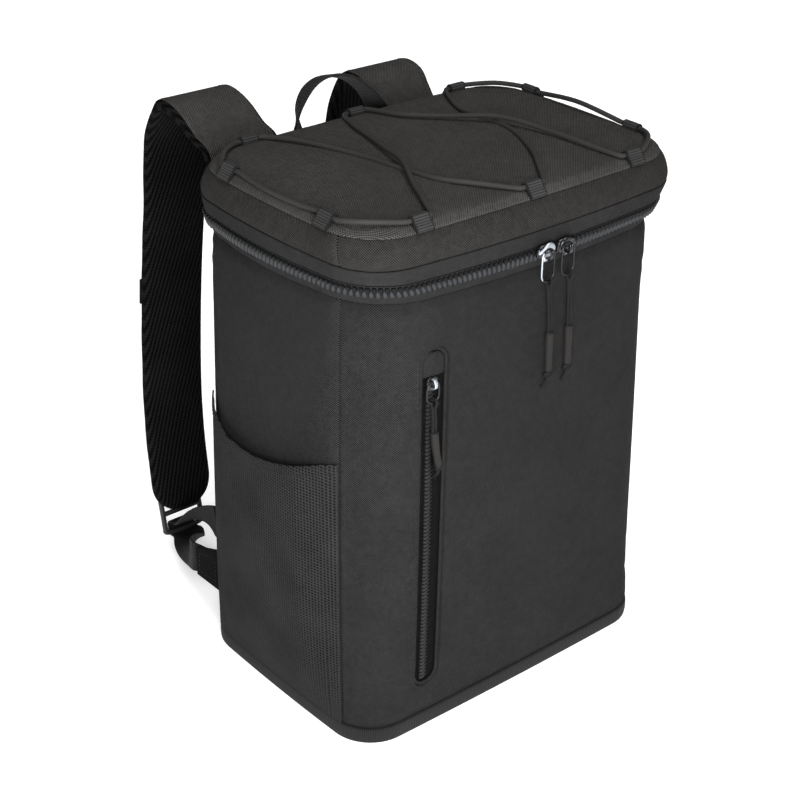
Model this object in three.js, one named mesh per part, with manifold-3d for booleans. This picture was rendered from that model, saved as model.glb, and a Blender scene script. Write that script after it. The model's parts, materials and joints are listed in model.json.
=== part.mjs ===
// Cooler backpack: a padded box-shaped bag on a bound base, with a puffy lid on a zip, an elastic cord
// laced over the lid, a zipped front pocket, stretch side pockets, a carrying handle and two shoulder
// straps. Millimetres. Z is up, the front faces -Y, and the origin is the centre of the base.
import * as THREE from "three";
import { mergeVertices } from "three/addons/utils/BufferGeometryUtils.js";
import Module from "manifold-3d";

const wasm = await Module();
wasm.setup();

// Air between two pieces that touch
const gap = 0.3;

// Body: plan sizes at the base and at the mouth, where the zip is sewn on
const baseWidth = 276.6;
const baseDepth = 191.6;
const baseFrontRadius = 32;
const baseBackRadius = 34;
const baseBow = 1;
const mouthWidth = 268;
const mouthDepth = 186.8;
const mouthFrontRadius = 50;
const mouthBackRadius = 34;
const mouthBow = 5;
const mouthHeight = 327;
const wallThickness = 6;
const bodySwell = 1.5;
const backBow = 1;

// Base: a stiff panel inside a ribbed binding
const bindingHeight = 11.4;
const bindingStand = 1;
const basePanelThickness = 8;

// Lid: a padded top on a puffy side band
const lidWidth = 282.6;
const lidDepth = 196.8;
const lidRadius = 38;
const lidFrontBow = 4.8;
const lidSideBow = 3;
const zipBandHeight = 27;
const lidHeight = mouthHeight + zipBandHeight;
const lidTopWidth = 276.3;
const lidTopDepth = 185.3;
const lidTopBow = 1.8;
const lidBoxingHeight = 18;
const lidSeamHeight = lidHeight + lidBoxingHeight;
const lidPuff = 1.6;
const lidBandThickness = 6;
const lidPadDepth = 8;
const lidCrown = 4.6;
const lidEdgeThickness = 1;

// Zip round the left, front and right sides, between the body and the lid
const lowerTapeHeight = 7;
const chainHeight = 8.8;
const tapeThickness = 1.5;
const chainThickness = 3;
const chainStand = 1.1;
const zipBulge = 1.2;
const hingeThickness = 2.5;

// Sliders of the main zip, with their rings, cords and sleeves
const leftSliderX = -2;
const rightSliderX = 15.5;
const sliderWidth = 14;
const sliderHeight = 10;
const sliderThickness = 2.6;
const sliderLift = 2;
const ringWire = 1.3;
const ringWidth = 10.5;
const ringLength = 22;
const ringShift = -1;
const pullCordLength = 36;
const sleeveLength = 28;
const sleeveDiameter = 5.2;
const pullCordDiameter = 2.2;
const knotLength = 9;
const knotDiameter = 5.6;

// Front pocket zip, in a long round-ended slot
const frontZipX = -84.5;
const frontZipBottom = 35;
const frontZipDrop = 32;
const frontZipTop = mouthHeight - frontZipDrop;
const frontZipOuterHalf = 11.6;
const frontZipInnerHalf = 8.7;
const frontZipRecess = 2.6;
const frontTapeThickness = 0.7;
const weltStand = 0.5;
const frontChainHalf = 3.2;
const frontChainOffset = -2.1;
const frontChainThickness = 1.6;
const garageLength = 17.6;
const garageThickness = 1;
const frontSliderLength = 9;
const frontSliderHalf = 4.2;
const frontSliderThickness = 2.2;
const frontRingLength = 14.7;
const frontRingWidth = 10;
const frontRingShift = -1.2;
const frontCordLength = 20.5;
const frontSleeveLength = 26;
const frontKnotLength = 6;

// Stretch side pockets
const pocketFrontHeight = 214;
const pocketBackHeight = 208;
const pocketDip = 19;
const pocketPuff = 7;
const pocketThickness = 1.2;

// Carrying handle
const handleWidth = 15;
const handleThickness = 2;
const handleHalfSpan = 38;
const handleRise = 30.5;
const handleSewn = 26;

// Shoulder straps
const leftStrapX = 82;
const leftStrapRise = 13.3;
const rightStrapX = 76;
const rightStrapRise = 5.3;
const strapReach = 101.2;
const strapLean = 4;
const strapWidth = 60;
const strapLowWidth = 51;
const strapThickness = 10;
const strapSewnThickness = 5;
const strapFoot = 40;
const strapSewn = 42;
const strapSlack = 0.4;
const keeperWidth = 20;
const keeperThickness = 1.6;
const keeperShare = 0.96;
const buckleWidth = 38;
const buckleHeight = 34;
const buckleThickness = 4;
const buckleBar = 4;
const webbingWidth = 25;
const webbingThickness = 1.7;
const anchorHeight = 52;
const anchorSize = 36;
const anchorLength = 22;
const anchorThickness = 2;
const tailShift = 22;
const tailRise = 21;

// Elastic cord and the webbing loops that hold it along the top seam
const bungeeDiameter = 3.4;
const bungeeFreeSteps = 2;
const bungeeSides = 8;
const loopWidth = 14;
const loopThickness = 1.1;
const loopCordInset = 6;
const loopClearance = 0.35;
const loopLift = 0.6;
const loopRun = 2;

const v3 = (x, y, z) => new THREE.Vector3(x, y, z);
const mix = (a, b, t) => a + (b - a) * t;

const materials = {
  body: { color: 0x3a393a, roughness: 0.85, metalness: 0 },
  mesh: { color: 0x141414, roughness: 0.95, metalness: 0 },
  knit: { color: 0x303031, roughness: 0.9, metalness: 0 },
  webbing: { color: 0x1c1c1d, roughness: 0.75, metalness: 0 },
  binding: { color: 0x262626, roughness: 0.8, metalness: 0 },
  zip: { color: 0x2a2b2f, roughness: 0.35, metalness: 0 },
  metal: { color: 0x1d1d1f, roughness: 0.3, metalness: 0.8 },
  bungee: { color: 0x3f3d3b, roughness: 0.7, metalness: 0 },
  sleeve: { color: 0x3c3c3d, roughness: 0.55, metalness: 0 },
};

const backpack = new THREE.Group();

function add(name, geometry, look) {
  const mesh = new THREE.Mesh(geometry, new THREE.MeshStandardMaterial(materials[look]));
  mesh.name = name;
  backpack.add(mesh);
  return mesh;
}

// Geometry from a list of points and a list of triangles
function meshOf(points, faces) {
  const geometry = new THREE.BufferGeometry();
  geometry.setFromPoints(points);
  geometry.setIndex(faces);
  return geometry;
}

// A closed skin between two matching grids of points, rows upwards and columns to the right as seen from
// outside. A ring joins its last column to its first.
function skin(outer, inner, ring = false) {
  const rows = outer.length;
  const columns = outer[0].length;
  const points = [...outer.flat(), ...inner.flat()];
  const at = (side, row, column) => (side * rows + row) * columns + (column % columns);
  const faces = [];
  const quad = (a, b, c, d) => faces.push(a, b, c, a, c, d);
  const spans = ring ? columns : columns - 1;
  const top = rows - 1;
  for (let c = 0; c < spans; c++) {
    for (let r = 0; r < top; r++) {
      quad(at(0, r, c), at(0, r, c + 1), at(0, r + 1, c + 1), at(0, r + 1, c));
      quad(at(1, r, c), at(1, r + 1, c), at(1, r + 1, c + 1), at(1, r, c + 1));
    }
    quad(at(1, 0, c), at(1, 0, c + 1), at(0, 0, c + 1), at(0, 0, c));
    quad(at(0, top, c), at(0, top, c + 1), at(1, top, c + 1), at(1, top, c));
  }
  if (!ring) {
    const end = columns - 1;
    for (let r = 0; r < top; r++) {
      quad(at(0, r, 0), at(0, r + 1, 0), at(1, r + 1, 0), at(1, r, 0));
      quad(at(0, r, end), at(1, r, end), at(1, r + 1, end), at(0, r + 1, end));
    }
  }
  return meshOf(points, faces);
}

// The same shape on the other side of the X = 0 plane
function mirrored(geometry) {
  const other = geometry.clone().scale(-1, 1, 1);
  const index = Array.from(other.index.array);
  for (let i = 0; i < index.length; i += 3) [index[i + 1], index[i + 2]] = [index[i + 2], index[i + 1]];
  other.setIndex(index);
  return other;
}

function solidOf(geometry) {
  const bare = new THREE.BufferGeometry();
  bare.setAttribute("position", geometry.getAttribute("position"));
  if (geometry.index) bare.setIndex(geometry.index);
  const merged = mergeVertices(bare, 1e-3);
  const vertProperties = new Float32Array(merged.getAttribute("position").array);
  const triVerts = new Uint32Array(merged.index.array);
  return new wasm.Manifold(new wasm.Mesh({ numProp: 3, vertProperties, triVerts }));
}

function geometryOf(solid) {
  const { vertProperties, triVerts } = solid.getMesh();
  const geometry = new THREE.BufferGeometry();
  geometry.setAttribute("position", new THREE.BufferAttribute(vertProperties, 3));
  geometry.setIndex(Array.from(triVerts));
  return geometry;
}

const cut = (geometry, tool) => geometryOf(solidOf(geometry).subtract(solidOf(tool)));

// Plan outlines: a rounded rectangle whose straight sides bow out, counterclockwise seen from above, from
// the middle of the back. Each stretch has a fixed number of steps, so an index names the same place at
// any height.
const halfBackSteps = 3;
const cornerSteps = 6;
const sideSteps = 6;
const frontSteps = 8;
const backLeft = halfBackSteps;
const leftBack = backLeft + cornerSteps;
const leftFront = leftBack + sideSteps;
const frontLeft = leftFront + cornerSteps;
const frontRight = frontLeft + frontSteps;
const rightFront = frontRight + cornerSteps;
const rightBack = rightFront + sideSteps;
const backRight = rightBack + cornerSteps;
const outlineCount = backRight + halfBackSteps;

// Seams that divide the walls: just inside each corner from the side, and halfway round the back corners
const seamLeftBack = backLeft + cornerSteps / 2;
const seamLeftFront = leftFront + 1;
const seamRightFront = rightFront - 1;
const seamRightBack = rightBack + cornerSteps / 2;

function outline(plan, out = 0) {
  const halfWidth = plan.width / 2 + out;
  const halfDepth = plan.depth / 2 + out;
  const front = Math.max(plan.frontRadius + out, 2);
  const back = Math.max(plan.backRadius + out, 2);
  const points = [];
  const corner = (x, y, radius, start) => {
    for (let i = 0; i < cornerSteps; i++) {
      const angle = start + (Math.PI / 2) * (i / cornerSteps);
      const nx = Math.cos(angle);
      const ny = Math.sin(angle);
      points.push({ x: x + radius * nx, y: y + radius * ny, nx, ny });
    }
  };
  const side = ({ from, to, normal, bow, steps, first = 0, last = steps }) => {
    const [nx, ny] = normal;
    for (let i = first; i < last; i++) {
      const t = i / steps;
      const swell = bow * (1 - (2 * t - 1) ** 2);
      const x = mix(from[0], to[0], t) + nx * swell;
      points.push({ x, y: mix(from[1], to[1], t) + ny * swell, nx, ny });
    }
  };
  const backLine = { from: [halfWidth - back, halfDepth], to: [back - halfWidth, halfDepth], normal: [0, 1],
    bow: plan.backBow, steps: 2 * halfBackSteps };
  const leftLine = { from: [-halfWidth, halfDepth - back], to: [-halfWidth, front - halfDepth],
    normal: [-1, 0], bow: plan.sideBow, steps: sideSteps };
  const frontLine = { from: [front - halfWidth, -halfDepth], to: [halfWidth - front, -halfDepth],
    normal: [0, -1], bow: plan.frontBow, steps: frontSteps };
  const rightLine = { from: [halfWidth, front - halfDepth], to: [halfWidth, halfDepth - back],
    normal: [1, 0], bow: plan.sideBow, steps: sideSteps };
  side({ ...backLine, first: halfBackSteps });
  corner(back - halfWidth, halfDepth - back, back, Math.PI / 2);
  side(leftLine);
  corner(front - halfWidth, front - halfDepth, front, Math.PI);
  side(frontLine);
  corner(halfWidth - front, front - halfDepth, front, 1.5 * Math.PI);
  side(rightLine);
  corner(halfWidth - back, halfDepth - back, back, 0);
  side({ ...backLine, last: halfBackSteps });
  return points;
}

function mixPlan(a, b, t) {
  const plan = {};
  for (const key of Object.keys(a)) plan[key] = mix(a[key], b[key], t);
  return plan;
}

const basePlan = { width: baseWidth, depth: baseDepth, frontRadius: baseFrontRadius,
  backRadius: baseBackRadius, frontBow: baseBow, sideBow: baseBow, backBow };
const mouthPlan = { width: mouthWidth, depth: mouthDepth, frontRadius: mouthFrontRadius,
  backRadius: mouthBackRadius, frontBow: mouthBow, sideBow: mouthBow, backBow };
const lidPlan = { width: lidWidth, depth: lidDepth, frontRadius: lidRadius, backRadius: lidRadius,
  frontBow: lidFrontBow, sideBow: lidSideBow, backBow: lidSideBow };
const lidTopPlan = { width: lidTopWidth, depth: lidTopDepth, frontRadius: lidRadius, backRadius: lidRadius,
  frontBow: lidTopBow, sideBow: lidTopBow, backBow: lidTopBow };

const bodyPlan = (z) => mixPlan(basePlan, mouthPlan, (z - bindingHeight) / (mouthHeight - bindingHeight));
const zipPlan = (z) => mixPlan(mouthPlan, lidPlan, (z - mouthHeight) / (lidHeight - mouthHeight));
const lidSidePlan = (z) => mixPlan(lidPlan, lidTopPlan, (z - lidHeight) / (lidSeamHeight - lidHeight));

// One row of points of a band round the bag, from one index of the outline to another, with half a gap left
// at each end
function row(plan, out, z, first, last) {
  const points = outline(plan, out);
  const at = (i) => points[(i + outlineCount) % outlineCount];
  const cells = [];
  for (let i = first; i <= last; i++) cells.push(v3(at(i).x, at(i).y, z));
  if (last - first < outlineCount) {
    const end = cells.length - 1;
    cells[0].add(cells[1].clone().sub(cells[0]).setLength(gap / 2));
    cells[end].add(cells[end - 1].clone().sub(cells[end]).setLength(gap / 2));
  } else cells.pop();
  return cells;
}

// A band of wall: levels name its heights and how far it stands out there
function band(planAt, levels, thickness, first, last) {
  const outer = levels.map(({ z, out }) => row(planAt(z), out, z, first, last));
  const inner = levels.map(({ z, out }) => row(planAt(z), out - thickness, z, first, last));
  return skin(outer, inner, last - first >= outlineCount);
}

// A flat band along a list of points: across gives the direction of its width at a share of the way
function strip({ path, across, width, thickness, edges }) {
  const outer = [];
  const inner = [];
  const count = path.length - 1;
  path.forEach((point, i) => {
    const t = i / count;
    const before = path[Math.max(i - 1, 0)];
    const after = path[Math.min(i + 1, count)];
    const tangent = after.clone().sub(before).normalize();
    const side = across(t).clone().projectOnPlane(tangent).normalize();
    const normal = side.clone().cross(tangent);
    const place = (share, height) =>
      point.clone().addScaledVector(side, (share * width(t)) / 2).addScaledVector(normal, height / 2);
    outer.push(edges.map(({ share, full }) => place(share, full * thickness(t))));
    inner.push(edges.map(({ share, full }) => place(share, -full * thickness(t))));
  });
  return skin(outer, inner);
}

const flatEdges = [-1, 1].map((share) => ({ share, full: 1 }));
const roundEdges = [
  { share: -1, full: 0.45 },
  { share: -0.88, full: 1 },
  { share: 0.88, full: 1 },
  { share: 1, full: 0.45 },
];

// A cushion-like disc inside an outline: rings from the middle of its underside to the middle of its top
function disc(plan, rings) {
  const points = [v3(0, 0, rings[0].z)];
  for (const { inset, z } of rings) for (const { x, y } of outline(plan, -inset)) points.push(v3(x, y, z));
  points.push(v3(0, 0, rings[rings.length - 1].centre));
  const faces = [];
  const at = (r, c) => 1 + r * outlineCount + (c % outlineCount);
  const last = rings.length - 1;
  for (let c = 0; c < outlineCount; c++) {
    faces.push(0, at(0, c + 1), at(0, c));
    for (let r = 0; r < last; r++) {
      faces.push(at(r, c), at(r, c + 1), at(r + 1, c + 1), at(r, c), at(r + 1, c + 1), at(r + 1, c));
    }
    faces.push(at(last, c), at(last, c + 1), points.length - 1);
  }
  return meshOf(points, faces);
}

// Walls of the bag
const bodyLevels = [
  { share: 0, swell: 0 },
  { share: 0.15, swell: 0.5 },
  { share: 0.45, swell: 1 },
  { share: 0.8, swell: 1 },
  { share: 0.94, swell: 0.8 },
  { share: 1, swell: 0 },
].map(({ share, swell }) => ({
  z: mix(bindingHeight + gap, mouthHeight - gap, share),
  out: swell * bodySwell - bindingStand * (1 - share),
}));

function bodyOut(z) {
  const upper = bodyLevels.findIndex((level, i) => i > 0 && (z <= level.z || i === bodyLevels.length - 1));
  const a = bodyLevels[upper - 1];
  const b = bodyLevels[upper];
  return mix(a.out, b.out, (z - a.z) / (b.z - a.z));
}

// Distance of the front and back surfaces from the middle plane at a height
function frontFace(x, z) {
  const plan = bodyPlan(z);
  const half = plan.width / 2 - plan.frontRadius;
  const swell = plan.frontBow * Math.max(0, 1 - (x / half) ** 2);
  return plan.depth / 2 + bodyOut(z) + swell;
}

const backFace = (z) => bodyPlan(z).depth / 2 + bodyOut(z) + backBow;

// Points on the front wall, standing out from it
const onFront = (x, z, out) => v3(x, -frontFace(x, z) - out, z);

// A round-ended sheet on the front wall between two distances from it
function slotSheet(half, bottom, top, inner, outer) {
  const endSteps = 4;
  const middleSteps = 4;
  const rows = [];
  for (let i = 1; i <= endSteps; i++) {
    const angle = (Math.PI / 2) * (i / endSteps);
    rows.push({ z: bottom + half * (1 - Math.cos(angle)), half: half * Math.sin(angle) });
  }
  const low = bottom + half;
  const high = top - half;
  for (let i = 1; i < middleSteps; i++) rows.push({ z: mix(low, high, i / middleSteps), half });
  for (const row of rows.slice(0, endSteps).reverse()) rows.push({ ...row, z: top - (row.z - bottom) });
  const shares = [-1, -0.5, 0, 0.5, 1];
  const grid = (out) => rows.map((row) => shares.map((s) => onFront(frontZipX + s * row.half, row.z, out)));
  return skin(grid(outer), grid(inner));
}

function addBody() {
  const walls = [
    { name: "side_panel_left", first: seamLeftBack, last: seamLeftFront },
    { name: "side_panel_right", first: seamRightFront, last: seamRightBack },
    { name: "back_panel", first: seamRightBack, last: seamLeftBack + outlineCount },
  ];
  for (const { name, first, last } of walls) {
    add(name, band(bodyPlan, bodyLevels, wallThickness, first, last), "body");
  }
  const front = band(bodyPlan, bodyLevels, wallThickness, seamLeftFront, seamRightFront);
  const slot = slotSheet(frontZipOuterHalf, frontZipBottom, frontZipTop, -frontZipRecess, wallThickness);
  add("front_panel", cut(front, slot), "body");

  const binding = [{ z: 0, out: 0 }, { z: bindingHeight, out: 0 }];
  add("base_binding", band(() => basePlan, binding, wallThickness, 0, outlineCount), "binding");
  const inset = wallThickness + gap;
  const faces = [{ inset, z: 0 }, { inset, z: basePanelThickness, centre: basePanelThickness }];
  add("base_panel", disc(basePlan, faces), "body");
}

// Height of the lid's top surface above its seam, by the distance in from the edge
const lidCrownRows = [
  { inset: 0, rise: lidEdgeThickness },
  { inset: 2.5, rise: mix(lidEdgeThickness, lidCrown, 0.35) },
  { inset: 7, rise: mix(lidEdgeThickness, lidCrown, 0.6) },
  { inset: 16, rise: mix(lidEdgeThickness, lidCrown, 0.78) },
  { inset: 36, rise: mix(lidEdgeThickness, lidCrown, 0.93) },
];

function crownAt(inset) {
  const rows = [...lidCrownRows, { inset: lidTopDepth / 2, rise: lidCrown }];
  const upper = rows.findIndex((r, i) => i > 0 && (inset <= r.inset || i === rows.length - 1));
  const a = rows[upper - 1];
  const b = rows[upper];
  return lidSeamHeight + gap + mix(a.rise, b.rise, Math.min((inset - a.inset) / (b.inset - a.inset), 1));
}

const lidHalfX = lidTopWidth / 2 + lidTopBow;
const lidHalfY = lidTopDepth / 2 + lidTopBow;
const insetAt = (x, y) => Math.max(Math.min(lidHalfX - Math.abs(x), lidHalfY - Math.abs(y)), 0);

function addLid() {
  const levels = [
    { share: 0, puff: 0 },
    { share: 0.15, puff: 0.55 },
    { share: 0.45, puff: 1 },
    { share: 0.82, puff: 0.8 },
    { share: 1, puff: 0.2 },
  ].map(({ share, puff }) => ({ z: mix(lidHeight, lidSeamHeight, share), out: puff * lidPuff }));
  const bands = [
    { name: "lid_boxing_left", first: seamLeftBack, last: seamLeftFront },
    { name: "lid_boxing_front", first: seamLeftFront, last: seamRightFront },
    { name: "lid_boxing_right", first: seamRightFront, last: seamRightBack },
    { name: "lid_boxing_back", first: seamRightBack, last: seamLeftBack + outlineCount },
  ];
  for (const { name, first, last } of bands) {
    add(name, band(lidSidePlan, levels, lidBandThickness, first, last), "body");
  }
  const inner = lidBandThickness + gap;
  const under = lidSeamHeight + gap;
  const low = under - lidPadDepth;
  const underside = [{ inset: inner, z: low }, { inset: inner, z: under }, { inset: 0, z: under }];
  const rings = [...underside, ...lidCrownRows.map(({ inset, rise }) => ({ inset, z: under + rise }))];
  rings[rings.length - 1].centre = under + lidCrown;
  add("lid_top_panel", disc(lidTopPlan, rings), "body");
}

// Bands of the zip, all round but the back, and the cloth hinge that takes their place there
const chainLow = mouthHeight + lowerTapeHeight;
const chainHigh = chainLow + chainHeight;
const bulgeAt = (z) => zipBulge * Math.sin((Math.PI * (z - mouthHeight)) / (lidHeight - mouthHeight));

function addZipBands() {
  const tape = { stand: 0, thickness: tapeThickness, look: "binding" };
  const chain = { stand: chainStand, thickness: chainThickness, look: "zip" };
  const bands = [
    { name: "zip_tape_lower", low: mouthHeight, high: chainLow - gap, ...tape },
    { name: "zip_chain", low: chainLow, high: chainHigh, ...chain },
    { name: "zip_tape_upper", low: chainHigh + gap, high: lidHeight - gap, ...tape },
  ];
  for (const { name, low, high, stand, thickness, look } of bands) {
    const levels = [low, high].map((z) => ({ z, out: bulgeAt(z) + stand }));
    add(name, band(zipPlan, levels, thickness, seamLeftBack, seamRightBack), look);
  }
  const hinge = [mouthHeight, lidHeight - gap].map((z) => ({ z, out: 0 }));
  add("lid_hinge", band(zipPlan, hinge, hingeThickness, seamRightBack, seamLeftBack + outlineCount), "body");
}

// A closed wire ring in the XZ plane, hanging from its top
function wireRing(centreX, y, top, width, length, wire) {
  const radius = width / 2;
  const low = top - length;
  const turn = (centreZ, start) =>
    [0, 0.25, 0.5, 0.75, 1].map((t) => {
      const angle = start + Math.PI * t;
      return v3(centreX + radius * Math.cos(angle), y, centreZ + radius * Math.sin(angle));
    });
  const points = [...turn(top - radius, 0), ...turn(low + radius, Math.PI)];
  const curve = new THREE.CatmullRomCurve3(points, true, "centripetal");
  return new THREE.TubeGeometry(curve, 16, wire / 2, 5, true);
}

// A round rod along a list of points
function rod(points, diameter, steps, sides = 8) {
  const section = new THREE.Shape();
  section.absarc(0, 0, diameter / 2, 0, 2 * Math.PI);
  const extrudePath = new THREE.CatmullRomCurve3(points);
  return new THREE.ExtrudeGeometry(section, { extrudePath, steps, curveSegments: sides / 2 });
}

// An oval bead, with its long axis upright
function bead(x, y, top, length, diameter) {
  const rings = 5;
  const profile = [];
  for (let i = 0; i <= rings; i++) {
    const angle = Math.PI * (i / rings) - Math.PI / 2;
    const radius = (diameter / 2) * Math.cos(angle);
    profile.push(new THREE.Vector2(Math.max(radius, 0), (length / 2) * Math.sin(angle)));
  }
  profile[0].x = 0;
  profile[rings].x = 0;
  const geometry = new THREE.LatheGeometry(profile, 8);
  return geometry.rotateX(Math.PI / 2).translate(x, y, top - length / 2);
}

// Slider body, seen from the front: a shield, wide where the zip runs into it
function sliderBody(width, height, thickness, bevel) {
  const w = width / 2;
  const h = height / 2;
  const shape = new THREE.Shape();
  shape.moveTo(-w, -h * 0.55);
  shape.lineTo(-w * 0.4, -h);
  shape.lineTo(w * 0.7, -h * 0.9);
  shape.lineTo(w, -h * 0.5);
  shape.lineTo(w, h * 0.5);
  shape.lineTo(w * 0.7, h * 0.9);
  shape.lineTo(-w * 0.4, h);
  shape.lineTo(-w, h * 0.55);
  shape.closePath();
  return new THREE.ExtrudeGeometry(shape, { depth: thickness, bevelEnabled: true, bevelThickness: bevel,
    bevelSize: bevel, bevelSegments: 1 });
}

// Front surface of the main zip's chain
function chainFront(x, z) {
  const plan = zipPlan(z);
  const half = plan.width / 2 - plan.frontRadius;
  return plan.depth / 2 + plan.frontBow * (1 - (x / half) ** 2) + bulgeAt(z) + chainStand;
}

// The pull: a wire ring, a doubled cord, a sleeve round it and a knot under that. Sways are how far each
// part hangs to the right of the ring.
function addPull(prefix, suffix, { x, y, top, ring, cordLength, sleeve, knot, sways }) {
  const name = (piece) => prefix + piece + suffix;
  add(name("pull_ring"), wireRing(x, y, top, ring.width, ring.length, ringWire), "metal");
  const cordTop = top - ring.length - ringWire / 2 - gap;
  const cordLow = cordTop - cordLength;
  const sleeveLow = cordLow - sleeve;
  const at = (z, sway) => v3(x + sway, y, z);
  const cordMiddle = at(mix(cordTop, cordLow, 0.5), mix(sways.cord, sways.sleeve, 0.6));
  const cord = [at(cordTop, sways.cord), cordMiddle, at(cordLow + gap, sways.sleeve)];
  add(name("pull_cord"), rod(cord, 1.6 * pullCordDiameter, 6), "webbing");
  const sleeveMiddle = at(mix(cordLow, sleeveLow, 0.5), mix(sways.sleeve, sways.knot, 0.4));
  const tube = [at(cordLow, sways.sleeve), sleeveMiddle, at(sleeveLow, sways.knot)];
  add(name("pull_sleeve"), rod(tube, sleeveDiameter, 4), "sleeve");
  add(name("pull_knot"), bead(x + sways.knot, y, sleeveLow - gap, knot, knotDiameter), "webbing");
}

// Lean of the zip bands, outwards to the lid
const zipLean = Math.atan2((lidDepth - mouthDepth) / 2 + lidFrontBow - mouthBow, lidHeight - mouthHeight);

function addSliders() {
  const z = (chainLow + chainHigh) / 2 + sliderLift;
  const bevel = 0.6;
  const pulls = [
    { side: "left", x: leftSliderX, turn: 0, sways: { cord: 1.7, sleeve: 5.2, knot: 6 } },
    { side: "right", x: rightSliderX, turn: Math.PI, sways: { cord: 2.7, sleeve: 4.9, knot: 6 } },
  ];
  for (const { side, x, turn, sways } of pulls) {
    const face = chainFront(x, z) + bevel + 3 * gap;
    const body = sliderBody(sliderWidth, sliderHeight, sliderThickness, bevel);
    body.rotateZ(turn).rotateX(Math.PI / 2 + zipLean).translate(x, -face, z);
    add("zip_slider_" + side, body, "metal");
    const reach = (sliderThickness + bevel) * Math.cos(zipLean)
      + (sliderHeight / 2 + bevel) * Math.abs(Math.sin(zipLean));
    const y = -face - reach - gap - ringWire / 2;
    const ring = { width: ringWidth, length: ringLength };
    addPull("zip_", "_" + side, { x: x + ringShift, y, top: z + ringWidth / 4, ring,
      cordLength: pullCordLength, sleeve: sleeveLength, knot: knotLength, sways });
  }
}

function addFrontZip() {
  const weltInner = -frontZipRecess + frontTapeThickness + 2 * gap;
  const rim = frontZipOuterHalf - frontZipInnerHalf;
  const holeTop = frontZipTop - rim;
  const sheet = (out, inner, outer) =>
    slotSheet(frontZipOuterHalf - out, frontZipBottom + out, frontZipTop - out, inner, outer);
  const hole = sheet(rim, -wallThickness, wallThickness);
  add("front_zip_welt", cut(sheet(gap, weltInner, weltStand), hole), "body");

  const tapeInner = gap - frontZipRecess;
  const tapeOuter = tapeInner + frontTapeThickness;
  add("front_zip_tape", sheet(gap, tapeInner, tapeOuter), "binding");

  const chainX = frontZipX + frontChainOffset;
  const garageLow = holeTop - garageLength;
  const sliderLow = garageLow - frontSliderLength;
  const chainInner = tapeOuter + gap;
  const chainOuter = chainInner + frontChainThickness;
  const plate = ({ half, low, high, inner, outer, steps }) => {
    const heights = Array.from({ length: steps + 1 }, (_, i) => mix(low, high, i / steps));
    const grid = (out) => heights.map((z) => [-half, half].map((x) => onFront(chainX + x, z, out)));
    return skin(grid(outer), grid(inner));
  };
  const high = garageLow - gap;
  add("front_zip_chain", plate({ half: frontChainHalf, low: frontZipBottom + rim + frontChainHalf, high,
    inner: chainInner, outer: chainOuter, steps: 8 }), "zip");

  const garageHalf = frontZipInnerHalf - 2 * gap;
  const garageTop = holeTop - 2 * gap;
  const garageRows = [0, 0.3, 0.6, 0.75, 0.88, 0.97].map((share) => {
    const z = mix(garageLow, garageTop, share);
    const into = Math.max((z - garageTop) / garageHalf + 1, 0);
    return { z, half: garageHalf * Math.sqrt(1 - into ** 2) };
  });
  const garageCells = [{ s: -1, swell: 0 }, { s: 0, swell: garageThickness }, { s: 1, swell: 0 }];
  const garage = (out) => garageRows.map(({ z, half }) =>
    garageCells.map(({ s, swell }) => onFront(frontZipX + s * half, z, out + swell)));
  add("front_zip_garage", skin(garage(chainInner + garageThickness), garage(chainInner)), "body");

  const sliderInner = chainOuter + gap;
  const sliderOuter = sliderInner + frontSliderThickness;
  add("front_zip_slider", plate({ half: frontSliderHalf, low: sliderLow, high, inner: sliderInner,
    outer: sliderOuter, steps: 2 }), "metal");

  const top = high - 2;
  const y = -frontFace(chainX, top) - sliderOuter - 2 * gap - ringWire / 2;
  const ring = { width: frontRingWidth, length: frontRingLength };
  addPull("front_zip_", "", { x: chainX + frontRingShift, y, top, ring, cordLength: frontCordLength,
    sleeve: frontSleeveLength, knot: frontKnotLength, sways: { cord: 1, sleeve: 2, knot: 6.5 } });
}

// The pocket cloth stands off the side wall, closed along its sides and base and open at its top edge
const pocketRows = [
  { share: 0, puff: 0 },
  { share: 0.06, puff: 0.35 },
  { share: 0.2, puff: 0.75 },
  { share: 0.45, puff: 1 },
  { share: 0.75, puff: 1 },
  { share: 1, puff: 1 },
];

function sidePocket() {
  const first = seamLeftBack + 1;
  const last = seamLeftFront;
  const grid = (extra) => pocketRows.map(({ share, puff }) => {
    const cells = [];
    for (let i = first; i <= last; i++) {
      const t = (i - first) / (last - first);
      const edge = Math.min(Math.sin(Math.PI * t) * 1.6, 1);
      const dip = pocketDip * (1 - (2 * t - 1) ** 4) ** 0.8;
      const topZ = mix(pocketBackHeight, pocketFrontHeight, t) - dip;
      const z = mix(bindingHeight + 2 * gap, topZ, share);
      const point = outline(bodyPlan(z), bodyOut(z))[i];
      const out = gap + puff * edge * pocketPuff + extra;
      cells.push(v3(point.x + point.nx * out, point.y + point.ny * out, z));
    }
    return cells;
  });
  return skin(grid(pocketThickness), grid(0));
}

function addPockets() {
  const left = sidePocket();
  add("side_pocket_left", left, "knit");
  add("side_pocket_right", mirrored(left), "knit");
}

// The hindmost face of the lid, which the handle and straps pass on their way up
const lidBack = lidDepth / 2 + lidSideBow + lidPuff;

// Middle line of the handle's arch: shares of its half span, from left to right, and of its rise
const handleRows = [
  { side: -1.01, up: -0.2 },
  { side: -0.99, up: 0.36 },
  { side: -0.79, up: 0.79 },
  { side: -0.53, up: 0.98 },
  { side: -0.21, up: 1 },
  { side: 0.05, up: 0.92 },
  { side: 0.26, up: 0.79 },
  { side: 0.58, up: 0.46 },
  { side: 0.82, up: 0.07 },
  { side: 0.97, up: -0.33 },
];

// Direction across the handle at the top of its arch
const handleTop = v3(0, 0.95, -0.3);

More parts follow.
